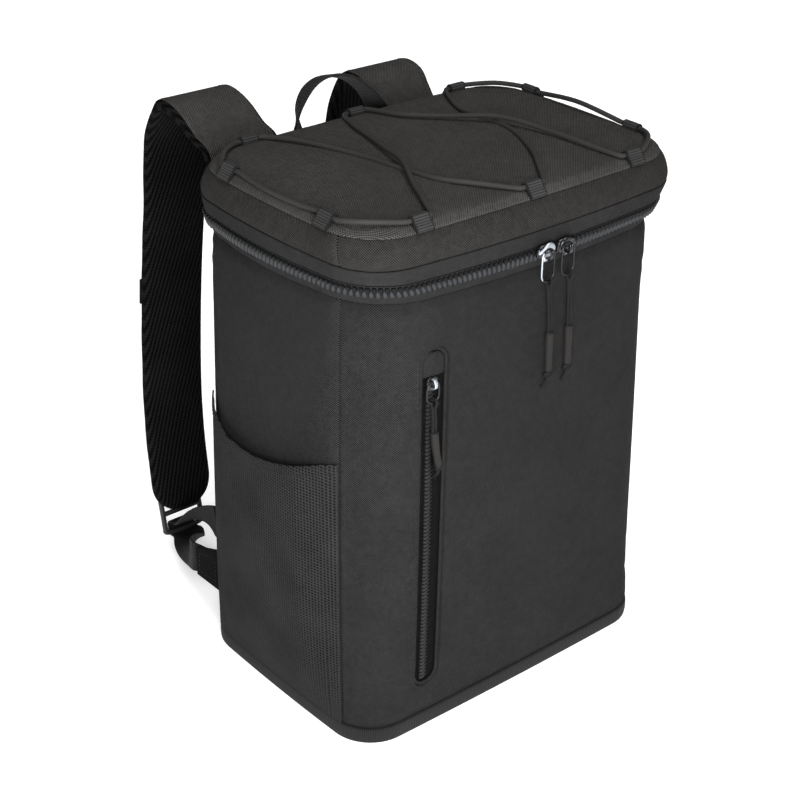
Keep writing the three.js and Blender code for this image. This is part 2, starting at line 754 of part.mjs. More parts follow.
// Handle of flat webbing: sewn flat on the back wall, turning its flat side up towards the top of the arch
function addHandle() {
  const stand = gap + handleThickness / 2;
  const low = mouthHeight - handleSewn;
  const legs = [
    { z: low, y: backFace(low) + stand },
    { z: mouthHeight, y: mix(backFace(mouthHeight), lidBack, 0.4) + stand },
    { z: lidHeight, y: lidBack + stand },
  ];
  const leg = (side) => legs.map(({ z, y }) => v3(side * handleHalfSpan, y, z));
  const arch = handleRows.map(({ side, up }) =>
    v3(side * handleHalfSpan, lidBack + stand, lidSeamHeight + up * handleRise));
  const points = [...leg(-1), ...arch, ...leg(1).reverse()];
  const curve = new THREE.CatmullRomCurve3(points, false, "centripetal");
  const turned = (t) => THREE.MathUtils.smoothstep(Math.sin(Math.PI * t), 0.6, 1);
  const across = (t) => {
    const angle = (Math.PI / 2) * turned(t);
    const towardsTop = handleTop.clone().multiplyScalar(Math.sin(angle));
    return towardsTop.setX((t < 0.5 ? 1 : -1) * Math.cos(angle));
  };
  const size = { width: () => handleWidth, thickness: () => handleThickness };
  const band = strip({ path: curve.getSpacedPoints(32), across, edges: flatEdges, ...size });
  add("haul_handle", band, "webbing");
}

// Middle lines of the shoulder straps, from the lid's back face over the highest point and down behind, in
// shares of their reach and height. The arches differ and the hanging parts are alike.
const leftStrapArch = [
  { out: 0, up: 0.885 },
  { out: 0.007, up: 0.92 },
  { out: 0.042, up: 0.946 },
  { out: 0.185, up: 0.961 },
  { out: 0.323, up: 0.984 },
  { out: 0.442, up: 0.997 },
  { out: 0.536, up: 1 },
  { out: 0.6, up: 0.996 },
  { out: 0.65, up: 0.978 },
  { out: 0.727, up: 0.941 },
  { out: 0.776, up: 0.908 },
];
const rightStrapArch = [
  { out: 0, up: 0.836 },
  { out: 0.032, up: 0.88 },
  { out: 0.101, up: 0.91 },
  { out: 0.183, up: 0.935 },
  { out: 0.272, up: 0.967 },
  { out: 0.343, up: 0.993 },
  { out: 0.417, up: 1 },
  { out: 0.521, up: 0.997 },
  { out: 0.59, up: 0.978 },
  { out: 0.672, up: 0.935 },
  { out: 0.726, up: 0.896 },
];
const strapHang = [
  { out: 0.903, up: 0.69 },
  { out: 0.97, up: 0.495 },
  { out: 1, up: 0.285 },
  { out: 0.98, up: 0.164 },
  { out: 0.93, up: 0.06 },
  { out: 0.885, up: 0 },
];

// The pad is thin up to the lid's seam, and grows to its full thickness between two shares of its length
const growthStart = 0.15;
const growthEnd = 0.3;
const padThickness = (t) =>
  mix(strapSewnThickness, strapThickness, THREE.MathUtils.smoothstep(t, growthStart, growthEnd));

function strapCurve(middle, rise, arch) {
  const stand = gap + strapSewnThickness / 2 + strapSlack;
  const apex = lidSeamHeight + rise;
  const sewnRows = [mouthHeight - strapSewn, mouthHeight - strapSewn / 2, mouthHeight - gap];
  const points = sewnRows.map((z) => v3(-middle, backFace(z) + stand, z));
  for (const { out, up } of [...arch, ...strapHang]) {
    const x = -middle - strapLean * (1 - up);
    points.push(v3(x, lidBack + stand + out * strapReach, mix(strapFoot, apex, up)));
  }
  return new THREE.CatmullRomCurve3(points, false, "centripetal");
}

function strapPad(curve) {
  const endRound = 0.05;
  const width = (t) => {
    const base = mix(strapWidth, strapLowWidth, THREE.MathUtils.smoothstep(t, 0.3, 0.5));
    const into = Math.max((t - (1 - endRound)) / endRound, 0);
    return base * Math.sqrt(Math.max(1 - into ** 2 * 0.75, 0.1));
  };
  const thickness = (t) => padThickness(t) * (t > 0.99 ? 0.6 : 1);
  const path = curve.getSpacedPoints(28);
  return strip({ path, across: () => v3(-1, 0, 0), width, thickness, edges: roundEdges });
}

// A place on the strap: its point, its direction along the strap and the way out of its outer face
function onStrap(curve, share) {
  const along = curve.getTangentAt(share);
  return { point: curve.getPointAt(share), along, outward: along.clone().cross(v3(-1, 0, 0)) };
}

function keeper(curve, share) {
  const half = keeperWidth / 2 / curve.getLength();
  const path = [share - half, share, share + half].map((s) => {
    const { point, outward } = onStrap(curve, s);
    return point.addScaledVector(outward, padThickness(s) / 2 + gap + keeperThickness / 2);
  });
  const across = () => v3(-1, 0, 0);
  const width = () => strapLowWidth * keeperShare;
  return strip({ path, across, width, thickness: () => keeperThickness, edges: flatEdges });
}

// Ladder-lock buckle: a plate with two slots, flat against the outer face of the strap's end
function buckle(frame) {
  const w = buckleWidth / 2;
  const shape = new THREE.Shape();
  const r = 3;
  shape.moveTo(-w + r, 0);
  shape.lineTo(w - r, 0);
  shape.quadraticCurveTo(w, 0, w, r);
  shape.lineTo(w, buckleHeight - r);
  shape.quadraticCurveTo(w, buckleHeight, w - r, buckleHeight);
  shape.lineTo(-w + r, buckleHeight);
  shape.quadraticCurveTo(-w, buckleHeight, -w, buckleHeight - r);
  shape.lineTo(-w, r);
  shape.quadraticCurveTo(-w, 0, -w + r, 0);
  const slotHalf = webbingWidth / 2 + 1;
  const slotHeight = (buckleHeight - 3 * buckleBar) / 2;
  for (const low of [buckleBar, 2 * buckleBar + slotHeight]) {
    const hole = new THREE.Path();
    hole.moveTo(-slotHalf, low);
    hole.lineTo(-slotHalf, low + slotHeight);
    hole.lineTo(slotHalf, low + slotHeight);
    hole.lineTo(slotHalf, low);
    hole.closePath();
    shape.holes.push(hole);
  }
  const plate = new THREE.ExtrudeGeometry(shape, { depth: buckleThickness, bevelEnabled: false,
    curveSegments: 3 });
  return plate.translate(0, 0, -buckleThickness / 2).applyMatrix4(frame);
}

// Webbing: from the anchor to the buckle, round its low bar and back as a loose tail. It stands on edge at
// the bag and turns flat on the way to the buckle.
function webbing(frame, start, lead) {
  const bar = (h, out) => v3(0, h, out).applyMatrix4(frame);
  const clear = buckleThickness / 2 + 2 * gap + webbingThickness / 2;
  const under = -2 * gap - webbingThickness / 2;
  const over = buckleBar + 2 * webbingThickness;
  const first = start.clone().add(lead);
  const enter = bar(under - 1, -clear - 1);
  const sag = (t, drop) => first.clone().lerp(enter, t).add(v3(0, 0, -drop));
  const exit = bar(over + 1.5, -clear - 1.5);
  const tailEnd = v3(first.x + tailShift, first.y, first.z + tailRise);
  const tail = (t, rise) => exit.clone().lerp(tailEnd, t).add(v3(0, 0, rise));
  const wrap = [enter, bar(under - 1, gap), bar(under, clear + gap), bar(over / 2, clear + gap),
    bar(over, clear), bar(over + 2.2, 0), exit];
  const lower = [start, start.clone().lerp(first, 0.5), first, sag(0.35, 2), sag(0.7, 3)];
  const upper = [tail(0.25, 1), tail(0.6, 1), tailEnd];
  const curve = new THREE.CatmullRomCurve3([...lower, ...wrap, ...upper], false, "centripetal");
  const turn = (t) => THREE.MathUtils.smoothstep(t, 0, 1) * (Math.PI / 2);
  const twist = (t) => turn(Math.min((t - 0.16) / 0.16, (1 - t) / 0.18));
  const across = (t) => v3(-Math.sin(twist(t)), 0, (t < 0.5 ? -1 : 1) * Math.cos(twist(t)));
  const shape = { path: curve.getPoints(38), across, edges: flatEdges };
  return strip({ ...shape, width: () => webbingWidth, thickness: () => webbingThickness });
}

// One strap with its fittings, made for the left side. Place moves a geometry to the side it is for.
function addStrap({ side, middle, rise, arch, place }) {
  const curve = strapCurve(middle, rise, arch);
  const end = onStrap(curve, 0.985);
  const plane = strapThickness / 2 + gap + buckleThickness / 2;
  const origin = end.point.clone().addScaledVector(end.outward, plane)
    .addScaledVector(end.along, buckleHeight * 0.85);
  const frame = new THREE.Matrix4().makeBasis(v3(-1, 0, 0), end.along.clone().negate(), end.outward.clone());
  frame.setPosition(origin);
  const seam = outline(bodyPlan(anchorHeight), bodyOut(anchorHeight))[seamLeftBack];
  const outward = v3(seam.nx, seam.ny, 0);
  const corner = v3(seam.x, seam.y, anchorHeight).addScaledVector(outward, gap + anchorThickness / 2);
  const lead = origin.clone().sub(corner).setZ(0).normalize().add(outward).normalize();
  const tabPath = [0, 0.5, 1].map((t) => corner.clone().addScaledVector(lead, anchorLength * t));
  const tabWidth = (t) => mix(anchorSize, webbingWidth, t);
  const tab = strip({ path: tabPath, across: () => v3(0, 0, -1), width: tabWidth,
    thickness: () => anchorThickness, edges: flatEdges });
  const apart = (anchorThickness + webbingThickness) / 2 + 3 * gap;
  const beside = lead.clone().cross(v3(0, 0, 1)).multiplyScalar(apart);
  const start = corner.clone().addScaledVector(lead, anchorLength * 0.3).add(beside);
  lead.setLength(anchorLength);
  const pieces = [
    { name: "strap_pad", geometry: strapPad(curve), look: "mesh" },
    { name: "strap_keeper", geometry: keeper(curve, 0.62), look: "webbing" },
    { name: "strap_buckle", geometry: buckle(frame), look: "zip" },
    { name: "strap_webbing", geometry: webbing(frame, start, lead), look: "webbing" },
    { name: "strap_anchor", geometry: tab, look: "body" },
  ];
  for (const { name, geometry, look } of pieces) {
    add(name + "_" + side, place(geometry.index ? geometry : mergeVertices(geometry)), look);
  }
}

function addStraps() {
  const left = { middle: leftStrapX, rise: leftStrapRise, arch: leftStrapArch };
  const right = { middle: rightStrapX, rise: rightStrapRise, arch: rightStrapArch };
  addStrap({ side: "left", ...left, place: (geometry) => geometry });
  addStrap({ side: "right", ...right, place: mirrored });
}

// Lacing of the elastic cord, in the order it runs. Each row is a loop on an edge of the lid, with its place
// as a share of the half edge, the way the cord runs through it (1 is counterclockwise seen from above), and
// the points that follow: shares of the lid's half width and half depth, and the height over the lid.
const lacing = [
  { edge: "left", along: 0.53, way: 1, then: [
    { x: -0.965, y: 0.1, lift: 3 }, { x: -0.96, y: -0.25, lift: 3 }] },
  { edge: "left", along: -0.53, way: 1, then: [{ x: -0.9, y: -0.78, lift: 5 }] },
  { edge: "front", along: -0.66, way: 1, then: [
    { x: -0.53, y: -0.74, lift: 5 }, { x: -0.455, y: -0.52, lift: 5 }, { x: -0.32, y: -0.16, lift: 6.6 },
    { x: -0.25, y: 0.15, lift: 5 }, { x: -0.19, y: 0.45, lift: 4 }, { x: -0.15, y: 0.68, lift: 4 }] },
  { edge: "back", along: 0, way: -1, then: [
    { x: 0.13, y: 0.66, lift: 4 }, { x: 0.28, y: 0.42, lift: 4.5 }, { x: 0.455, y: 0.12, lift: 6.6 },
    { x: 0.54, y: -0.3, lift: 4.5 }, { x: 0.56, y: -0.68, lift: 4 }] },
  { edge: "front", along: 0.66, way: 1, then: [{ x: 0.86, y: -0.8, lift: 5 }] },
  { edge: "right", along: -0.53, way: 1, then: [{ x: 0.925, y: 0, lift: 8 }] },
  { edge: "right", along: 0.53, way: 1, then: [{ x: 0.84, y: 0.76, lift: 5 }] },
  { edge: "back", along: 0.66, way: 1, then: [
    { x: 0.5, y: 0.72, lift: 4 }, { x: 0.43, y: 0.45, lift: 2.8 }, { x: 0.455, y: 0.13, lift: 2.3 },
    { x: 0.43, y: -0.08, lift: 2.4 }, { x: 0.3, y: -0.47, lift: 3.4 }, { x: 0.17, y: -0.74, lift: 4.4 }] },
  { edge: "front", along: 0, way: -1, then: [
    { x: -0.2, y: -0.72, lift: 4 }, { x: -0.29, y: -0.48, lift: 2.9 }, { x: -0.335, y: -0.17, lift: 2.3 },
    { x: -0.365, y: 0.12, lift: 2.4 }, { x: -0.43, y: 0.45, lift: 3 }, { x: -0.51, y: 0.7, lift: 4 }] },
  { edge: "back", along: -0.66, way: 1, then: [{ x: -0.86, y: 0.78, lift: 5 }] },
];

const edgeFrames = {
  left: { inward: v3(1, 0, 0), half: lidHalfX, run: lidHalfY, axis: v3(0, 1, 0) },
  right: { inward: v3(-1, 0, 0), half: lidHalfX, run: lidHalfY, axis: v3(0, 1, 0) },
  front: { inward: v3(0, 1, 0), half: lidHalfY, run: lidHalfX, axis: v3(1, 0, 0) },
  back: { inward: v3(0, -1, 0), half: lidHalfY, run: lidHalfX, axis: v3(1, 0, 0) },
};

// Radius of the loop's inside, and the height of the cord through it over the lid
const loopInner = bungeeDiameter / 2 + loopClearance;
const cordLift = loopLift + loopThickness + loopInner;

// Where the lid's edge lies at a place along one side, since the sides bow out
function edgePoint({ edge, along }) {
  const { inward, half, run, axis } = edgeFrames[edge];
  const straight = run - lidTopBow - lidRadius;
  const drop = lidTopBow * Math.min(((along * run) / straight) ** 2, 1);
  return axis.clone().multiplyScalar(along * run).addScaledVector(inward, drop - half);
}

// Eye-shaped band: round the cord at its inner end, and narrowing to the seam at the lid's edge
function loopGeometry(place) {
  const { inward } = edgeFrames[place.edge];
  const outer = loopInner + loopThickness;
  const tail = loopThickness;
  const tailIn = 0.8;
  const baseZ = crownAt(loopCordInset) + cordLift;
  const tailZ = crownAt(tailIn) + loopLift + tail;
  const shape = new THREE.Shape();
  const steps = 6;
  const start = 1.35 * Math.PI;
  const sweep = 1.45 * Math.PI;
  shape.moveTo(tailIn, tailZ - tail);
  for (let i = 0; i <= steps; i++) {
    const angle = start + (sweep * i) / steps;
    shape.lineTo(loopCordInset + outer * Math.cos(angle), baseZ + outer * Math.sin(angle));
  }
  shape.lineTo(tailIn, tailZ + tail);
  shape.closePath();
  const hole = new THREE.Path();
  hole.absarc(loopCordInset, baseZ, loopInner, 0, 2 * Math.PI, true);
  shape.holes.push(hole);
  const body = new THREE.ExtrudeGeometry(shape, { depth: loopWidth, bevelEnabled: false, curveSegments: 4 });
  body.translate(0, 0, -loopWidth / 2);
  const up = v3(0, 0, 1);
  const frame = new THREE.Matrix4().makeBasis(inward, up, inward.clone().cross(up));
  return body.applyMatrix4(frame.setPosition(edgePoint(place)));
}

// The cord's route as a closed curve. Its stops are the places where the tube has a ring: one for each point
// inside a loop, and a few for each free point.
function bungeePath() {
  const points = [];
  const steps = [];
  const half = loopWidth / 2;
  for (const { edge, along, way, then } of lacing) {
    const { inward } = edgeFrames[edge];
    const middle = edgePoint({ edge, along }).addScaledVector(inward, loopCordInset);
    middle.z = crownAt(loopCordInset) + cordLift;
    const forward = v3(0, 0, 1).cross(inward).negate().multiplyScalar(way);
    for (const run of [-half - loopRun, -half, half, half + loopRun]) {
      points.push(middle.clone().addScaledVector(forward, run));
      steps.push(run > half ? bungeeFreeSteps : 1);
    }
    for (const { x, y, lift } of then) {
      const place = v3(x * lidHalfX, y * lidHalfY, 0);
      place.z = crownAt(insetAt(place.x, place.y)) + lift;
      points.push(place);
      steps.push(bungeeFreeSteps);
    }
  }
  const stopsFrom = (count, i) => Array.from({ length: count }, (_, k) => (i + k / count) / points.length);
  const stops = [...steps.flatMap(stopsFrom), 1];
  const curve = new THREE.CatmullRomCurve3(points, true, "centripetal");
  curve.getUtoTmapping = (u) => stops[Math.round(u * (stops.length - 1))];
  return { curve, rings: stops.length - 1 };
}

function addLacing() {
  lacing.forEach((place, i) => add("bungee_loop_" + (i + 1), loopGeometry(place), "webbing"));
  const { curve, rings } = bungeePath();
  add("bungee_cord", new THREE.TubeGeometry(curve, rings, bungeeDiameter / 2, bungeeSides, true), "bungee");
}

addBody();
addLid();
addZipBands();
addSliders();
addFrontZip();
addPockets();
addHandle();
addStraps();
addLacing();

export default backpack;
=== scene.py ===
import json
import math

import bmesh
import bpy
import numpy as np
from mathutils import Matrix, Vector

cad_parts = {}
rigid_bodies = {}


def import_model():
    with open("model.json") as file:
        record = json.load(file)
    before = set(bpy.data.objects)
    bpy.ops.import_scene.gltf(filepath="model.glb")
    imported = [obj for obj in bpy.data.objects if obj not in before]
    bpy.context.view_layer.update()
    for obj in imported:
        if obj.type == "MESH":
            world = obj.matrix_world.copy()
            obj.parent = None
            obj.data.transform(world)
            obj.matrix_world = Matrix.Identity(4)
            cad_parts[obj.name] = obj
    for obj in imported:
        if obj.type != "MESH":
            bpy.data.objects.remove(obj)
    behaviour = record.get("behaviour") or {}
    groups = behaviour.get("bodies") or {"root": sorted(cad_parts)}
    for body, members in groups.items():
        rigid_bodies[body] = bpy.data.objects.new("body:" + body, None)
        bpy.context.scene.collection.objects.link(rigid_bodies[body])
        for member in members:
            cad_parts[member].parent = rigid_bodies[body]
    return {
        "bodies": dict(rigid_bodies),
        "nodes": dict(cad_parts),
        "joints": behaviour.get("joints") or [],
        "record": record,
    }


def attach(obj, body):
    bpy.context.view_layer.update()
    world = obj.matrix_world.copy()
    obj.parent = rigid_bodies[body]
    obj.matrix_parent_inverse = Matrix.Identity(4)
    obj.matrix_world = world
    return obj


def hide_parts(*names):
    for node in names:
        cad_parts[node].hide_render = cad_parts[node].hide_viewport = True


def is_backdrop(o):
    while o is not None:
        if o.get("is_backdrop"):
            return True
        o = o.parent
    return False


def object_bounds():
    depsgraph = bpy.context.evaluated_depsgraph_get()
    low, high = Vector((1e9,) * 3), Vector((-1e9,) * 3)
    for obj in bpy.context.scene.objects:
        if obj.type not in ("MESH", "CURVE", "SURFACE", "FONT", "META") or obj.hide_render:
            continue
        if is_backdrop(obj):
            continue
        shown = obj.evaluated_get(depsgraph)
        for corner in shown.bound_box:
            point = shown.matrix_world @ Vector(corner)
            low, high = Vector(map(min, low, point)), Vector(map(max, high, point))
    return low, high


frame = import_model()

# Lengths are millimetres, as in the CAD source, until make() turns a piece's points into metres.
size_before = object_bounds()
scene = bpy.context.scene
PI = math.pi
rng = np.random.default_rng(7)


# Camera

LENS, SENSOR = 77.87, 36
CLIP = (0.05, 20)


def add_camera():
    """The photograph's camera, with its place and turn as they were fitted to the bag's corners."""
    data = bpy.data.cameras.new("photo_camera")
    data.lens = LENS
    data.sensor_width = SENSOR
    data.clip_start, data.clip_end = CLIP
    camera = bpy.data.objects.new("photo_camera", data)
    scene.collection.objects.link(camera)
    right = (0.7645, -0.64439, 0.01747)
    up = (0.29233, 0.37072, 0.88154)
    back = (-0.57453, -0.66883, 0.47179)
    place = (-0.72566, -0.8103, 0.77027)
    rows = [[right[k], up[k], back[k], place[k]] for k in range(3)]
    camera.matrix_world = Matrix(rows + [[0, 0, 0, 1]])
    scene.camera = camera


add_camera()


# Numbers and curves

def mix(a, b, t):
    return a + (b - a) * t


def step(x, a, b):
    t = np.clip((np.asarray(x, float) - a) / (b - a), 0, 1)
    return t * t * (3 - 2 * t)


def vec(*xyz):
    return np.array(xyz, float)


def unit(v):
    v = np.asarray(v, float)
    return v / np.maximum(np.linalg.norm(v, axis=-1, keepdims=True), 1e-9)


def through(xs, ys, x):
    """A smooth line through points, given at other places."""
    xs, ys, x = (np.asarray(a, float) for a in (xs, ys, x))
    slope = np.diff(ys) / np.diff(xs)
    tangent = np.concatenate([[slope[0]], (slope[1:] + slope[:-1]) / 2, [slope[-1]]])
    k = np.clip(np.searchsorted(xs, x) - 1, 0, len(xs) - 2)
    h = xs[k + 1] - xs[k]
    t = np.clip((x - xs[k]) / h, 0, 1)
    a = (1 + 2 * t) * (1 - t) ** 2 * ys[k] + t * (1 - t) ** 2 * h * tangent[k]
    return a + t * t * (3 - 2 * t) * ys[k + 1] + t * t * (t - 1) * h * tangent[k + 1]


def spline(points, closed=False, per=16):
    """Centripetal Catmull-Rom curve, with the same number of steps between any two points."""
    p = np.array(points, float)
    if closed:
        ext = np.vstack([p[-1:], p, p[:2]])
    else:
        ext = np.vstack([2 * p[:1] - p[1:2], p, 2 * p[-1:] - p[-2:-1]])
    out = []
    for i in range(len(ext) - 3):
        a, b, c, d = ext[i:i + 4]
        d0, d1, d2 = (max(np.linalg.norm(v) ** 0.5, 1e-4) for v in (b - a, c - b, d - c))
        m1 = ((b - a) / d0 - (c - a) / (d0 + d1) + (c - b) / d1) * d1
        m2 = ((c - b) / d1 - (d - b) / (d1 + d2) + (d - c) / d2) * d1
        t = (np.arange(per) / per)[:, None]
        cubic = 2 * b - 2 * c + m1 + m2
        square = -3 * b + 3 * c - 2 * m1 - m2
        out.append(b + m1 * t + square * t ** 2 + cubic * t ** 3)
    if not closed:
        out.append(p[-1:])
    return np.vstack(out)


def along(points):
    """Distance from the first point to each."""
    return np.concatenate([[0], np.cumsum(np.linalg.norm(np.diff(points, axis=0), axis=1))])


def evenly(points, count=None, gap=None):
    run = along(points)
    count = count or max(int(round(run[-1] / gap)) + 1, 3)
    return read_at(np.linspace(0, run[-1], count), run, points)


def read_at(places, run, points):
    """Points of a row, read at other distances along it."""
    return np.stack([np.interp(places, run, points[:, k]) for k in range(3)], -1)


def tangents(points, closed=False):
    if closed:
        return unit(np.roll(points, -1, 0) - np.roll(points, 1, 0))
    return unit(np.gradient(points, axis=0))


def stops(length, gap, edge=(0, 0.3, 0.8, 1.5, 2.4, 3.6)):
    """Shares of a length for the lines of a grid, closer together at both ends."""
    count = max(int((length - 2 * edge[-1]) / gap), 2)
    middle = np.linspace(edge[-1], length - edge[-1], count + 1)
    return np.concatenate([edge[:-1], middle, length - np.array(edge[:-1])[::-1]]) / length


# Meshes

class Shape:
    """Points, faces, their places on the cloth in millimetres and their material's number."""

    def __init__(self):
        self.points, self.faces, self.uvs, self.looks = [], [], [], []

    def add(self, points, faces, uvs, look=0):
        base = len(self.points)
        self.points.extend(np.asarray(points, float).tolist())
        self.faces.extend((np.asarray(f) + base).tolist() for f in faces)
        self.uvs.extend(np.asarray(u, float) for u in uvs)
        looks = look if hasattr(look, "__len__") else [look] * len(faces)
        self.looks.extend(int(k) for k in looks)


def cells(g):
    g = np.asarray(g)
    return np.stack([g[:-1, :-1], g[:-1, 1:], g[1:, 1:], g[1:, :-1]], 2).reshape(-1, 4, *g.shape[2:])


def numbered(rows, columns, wrap=True):
    """Numbers of a grid's points, with the first column once more at the end where it closes."""
    index = np.arange(rows * columns).reshape(rows, columns)
    return np.hstack([index, index[:, :1]]) if wrap else index


def pairs(across, up):
    """Places on the cloth for a grid, from its widths and heights."""
    return np.stack(np.broadcast_arrays(across, up), -1)


def skin(shape, outer, inner, uv, wrap=False, looks=(0, 0)):
    """A closed sheet between two matching grids of points, with one look outside and one on the rest."""
    rows, columns = outer.shape[:2]
    index = numbered(rows, columns, wrap)
    other = index + rows * columns
    faces = [cells(index), cells(other)[:, ::-1]]
    places = [cells(uv), cells(uv)[:, ::-1]]
    lines = [(0, slice(None)), (-1, slice(None))]
    if not wrap:
        lines += [(slice(None), 0), (slice(None), -1)]
    for line in lines:
        faces.append(cells(np.stack([index[line], other[line]])))
        places.append(cells(np.stack([uv[line], uv[line]])))
    look = np.concatenate([np.full(len(f), looks[min(k, 1)]) for k, f in enumerate(faces)])
    points = np.vstack([outer.reshape(-1, 3), inner.reshape(-1, 3)])
    shape.add(points, np.vstack(faces), np.vstack(places), look)


def stacked(shape, grid, axes, top):
    """Closed rings of points one after another, with a cap on the first and, if wished, on the last."""
    flat = grid[..., axes]
    index = numbered(*grid.shape[:2])
    faces = list(cells(index)) + [index[0, :-1][::-1]]
    places = list(cells(np.concatenate([flat, flat[:, :1]], 1))) + [flat[0][::-1]]
    if top:
        faces.append(index[-1, :-1])
        places.append(flat[-1])
    shape.add(grid.reshape(-1, 3), faces, places)


def ring_frames(path, across=None, closed=False):
    """Side and outward directions along a path, from a wished side or turned as little as can be."""
    t = tangents(path, closed)
    if across is not None:
        wish = np.broadcast_to(np.asarray(across, float), t.shape)
        side = unit(wish - (wish * t).sum(1, keepdims=True) * t)
        return side, np.cross(t, side)
    side = np.zeros_like(t)
    start = vec(0, 0, 1) if abs(t[0][2]) < 0.8 else vec(1, 0, 0)
    side[0] = unit(np.cross(t[0], start))
    for i in range(1, len(t)):
        side[i] = unit(side[i - 1] - side[i - 1].dot(t[i]) * t[i])
    if closed:
        last = unit(side[-1] - side[-1].dot(t[0]) * t[0])
        turn = math.atan2(np.cross(last, side[0]).dot(t[0]), last.dot(side[0]))
        angle = (turn * np.arange(len(t)) / len(t))[:, None]
        side = side * np.cos(angle) + np.cross(t, side) * np.sin(angle)
    return side, np.cross(t, side)


def sweep(shape, path, section, across=None, closed=False, flat=False, look=0, look_at=None):
    """Carries a closed section, one (side, outward) list for each point of the path, along it."""
    side, out = ring_frames(path, across, closed)
    section = np.broadcast_to(section, (len(path),) + np.shape(section)[-2:])
    points = (path[:, None] + section[..., :1] * side[:, None] + section[..., 1:] * out[:, None])
    count = section.shape[1]
    ends = np.vstack([path, path[:1]]) if closed else path
    run = np.broadcast_to(along(ends)[:, None], (len(ends), count + 1))
    if flat:
        around = np.concatenate([section[..., 0], section[:, :1, 0]], 1)
    else:
        loop = np.vstack([section[0], section[0][:1]])
        around = np.broadcast_to(along(np.hstack([loop, loop[:, :1] * 0])), (len(path), count + 1))
    if closed:
        around = np.vstack([around, around[:1]])
    uv = np.stack([around, run], -1)
    index = numbered(len(path), count)
    if closed:
        index = np.vstack([index, index[:1]])
    faces = list(cells(index))
    places = list(cells(uv))
    if look_at is None:
        looks = [look] * len(faces)
    else:
        looks = np.tile(look_at, len(index) - 1).tolist()
    if not closed:
        for row in (0, -1):
            faces.append(index[row][:-1])
            places.append(uv[row][:-1])
            looks.append(looks[0] if look_at is None else int(max(look_at)))
    shape.add(points.reshape(-1, 3), faces, places, looks)


def circle(radius, sides=12):
    angle = 2 * PI * np.arange(sides) / sides
    return np.stack([np.cos(angle), np.sin(angle)], 1) * radius


def slab(width, thickness, corner, parts=3, across=1):
    """A flat band's section, with rounded corners."""
    r = min(corner, thickness / 2, width / 2)
    points = []
    for k, (x, y) in enumerate([(1, 1), (-1, 1), (-1, -1), (1, -1)]):
        centre = vec(x * (width / 2 - r), y * (thickness / 2 - r))
        for i in range(parts + 1):
            a = PI / 2 * (k + i / parts)
            points.append(centre + r * vec(math.cos(a), math.sin(a)))
        if k in (0, 2):
            for j in range(1, across):
                points.append(vec(mix(x, -x, j / across) * (width / 2 - r), y * thickness / 2))
    return np.array(points)


def plate(shape, corners, layers, frame, look=0, dome=0.0):
    """A flat piece: its outline at several heights, each drawn in by an inset, closed above and below."""
    corners = np.asarray(corners, float)
    ahead, behind = np.roll(corners, -1, 0) - corners, corners - np.roll(corners, 1, 0)
    normal = unit(unit(ahead) + unit(behind))
    normal = np.stack([normal[:, 1], -normal[:, 0]], 1)
    rows = [np.column_stack([corners - normal * inset, np.full(len(corners), h)]) for inset, h in layers]
    middle = corners.mean(0)
    points = np.vstack(rows + [[[*middle, layers[0][1]], [*middle, layers[-1][1] + dome]]])
    n = len(corners)
    index = numbered(len(rows), n)
    faces = list(cells(index))
    faces += [[len(points) - 2, index[0, k + 1], index[0, k]] for k in range(n)]
    faces += [[len(points) - 1, index[-1, k], index[-1, k + 1]] for k in range(n)]
    origin, x, y, z = (np.asarray(a, float) for a in frame)
    flat = points[:, :2]
    world = origin + points[:, :1] * x + points[:, 1:2] * y + points[:, 2:] * z
    shape.add(world, faces, [flat[np.asarray(f)] for f in faces], look)


# A stitch's sections: share of its length, thickness, and whether it stands up or dips in
STITCH = ((0, 0.4, 0), (0.22, 0.95, 1), (0.78, 0.95, 1), (1, 0.4, 0))
STITCH_SIDES = 5
STITCH_DIP, STITCH_RISE = -0.05, 0.7


def stitch_line(shape, path, outward, length=2.4, gap=1.5, radius=0.28, look=0):
    """A row of short raised stitches laid on a surface."""
    run = along(path)
    outward = np.broadcast_to(np.asarray(outward, float), path.shape)
    index = numbered(len(STITCH), STITCH_SIDES)
    faces = [*cells(index), index[0, :-1][::-1], index[-1, :-1]]
    places = [np.zeros((len(f), 2)) for f in faces]
    turns = 2 * PI * np.arange(STITCH_SIDES) / STITCH_SIDES
    for a in np.arange(gap / 2, run[-1] - length, length + gap):
        start, end = read_at([a, a + length], run, path)
        out = unit(read_at(a, run, outward))
        side = unit(np.cross(out, unit(end - start)))
        rows = []
        for t, thick, up in STITCH:
            centre = mix(start, end, t) + out * mix(STITCH_DIP, radius * STITCH_RISE, up)
            rows += [centre + radius * thick * (math.cos(w) * side + math.sin(w) * out) for w in turns]
        shape.add(rows, faces, places, look)


def new_object(name, points, faces):
    """An object with these points, in metres, and these faces."""
    mesh = bpy.data.meshes.new(name)
    mesh.from_pydata(np.asarray(points).tolist(), [], faces)
    thing = bpy.data.objects.new(name, mesh)
    scene.collection.objects.link(thing)
    return thing


def face_outwards(mesh):
    bm = bmesh.new()
    bm.from_mesh(mesh)
    bmesh.ops.recalc_face_normals(bm, faces=bm.faces)
    bm.to_mesh(mesh)
    bm.free()


SHARP_ANGLE = math.radians(50)


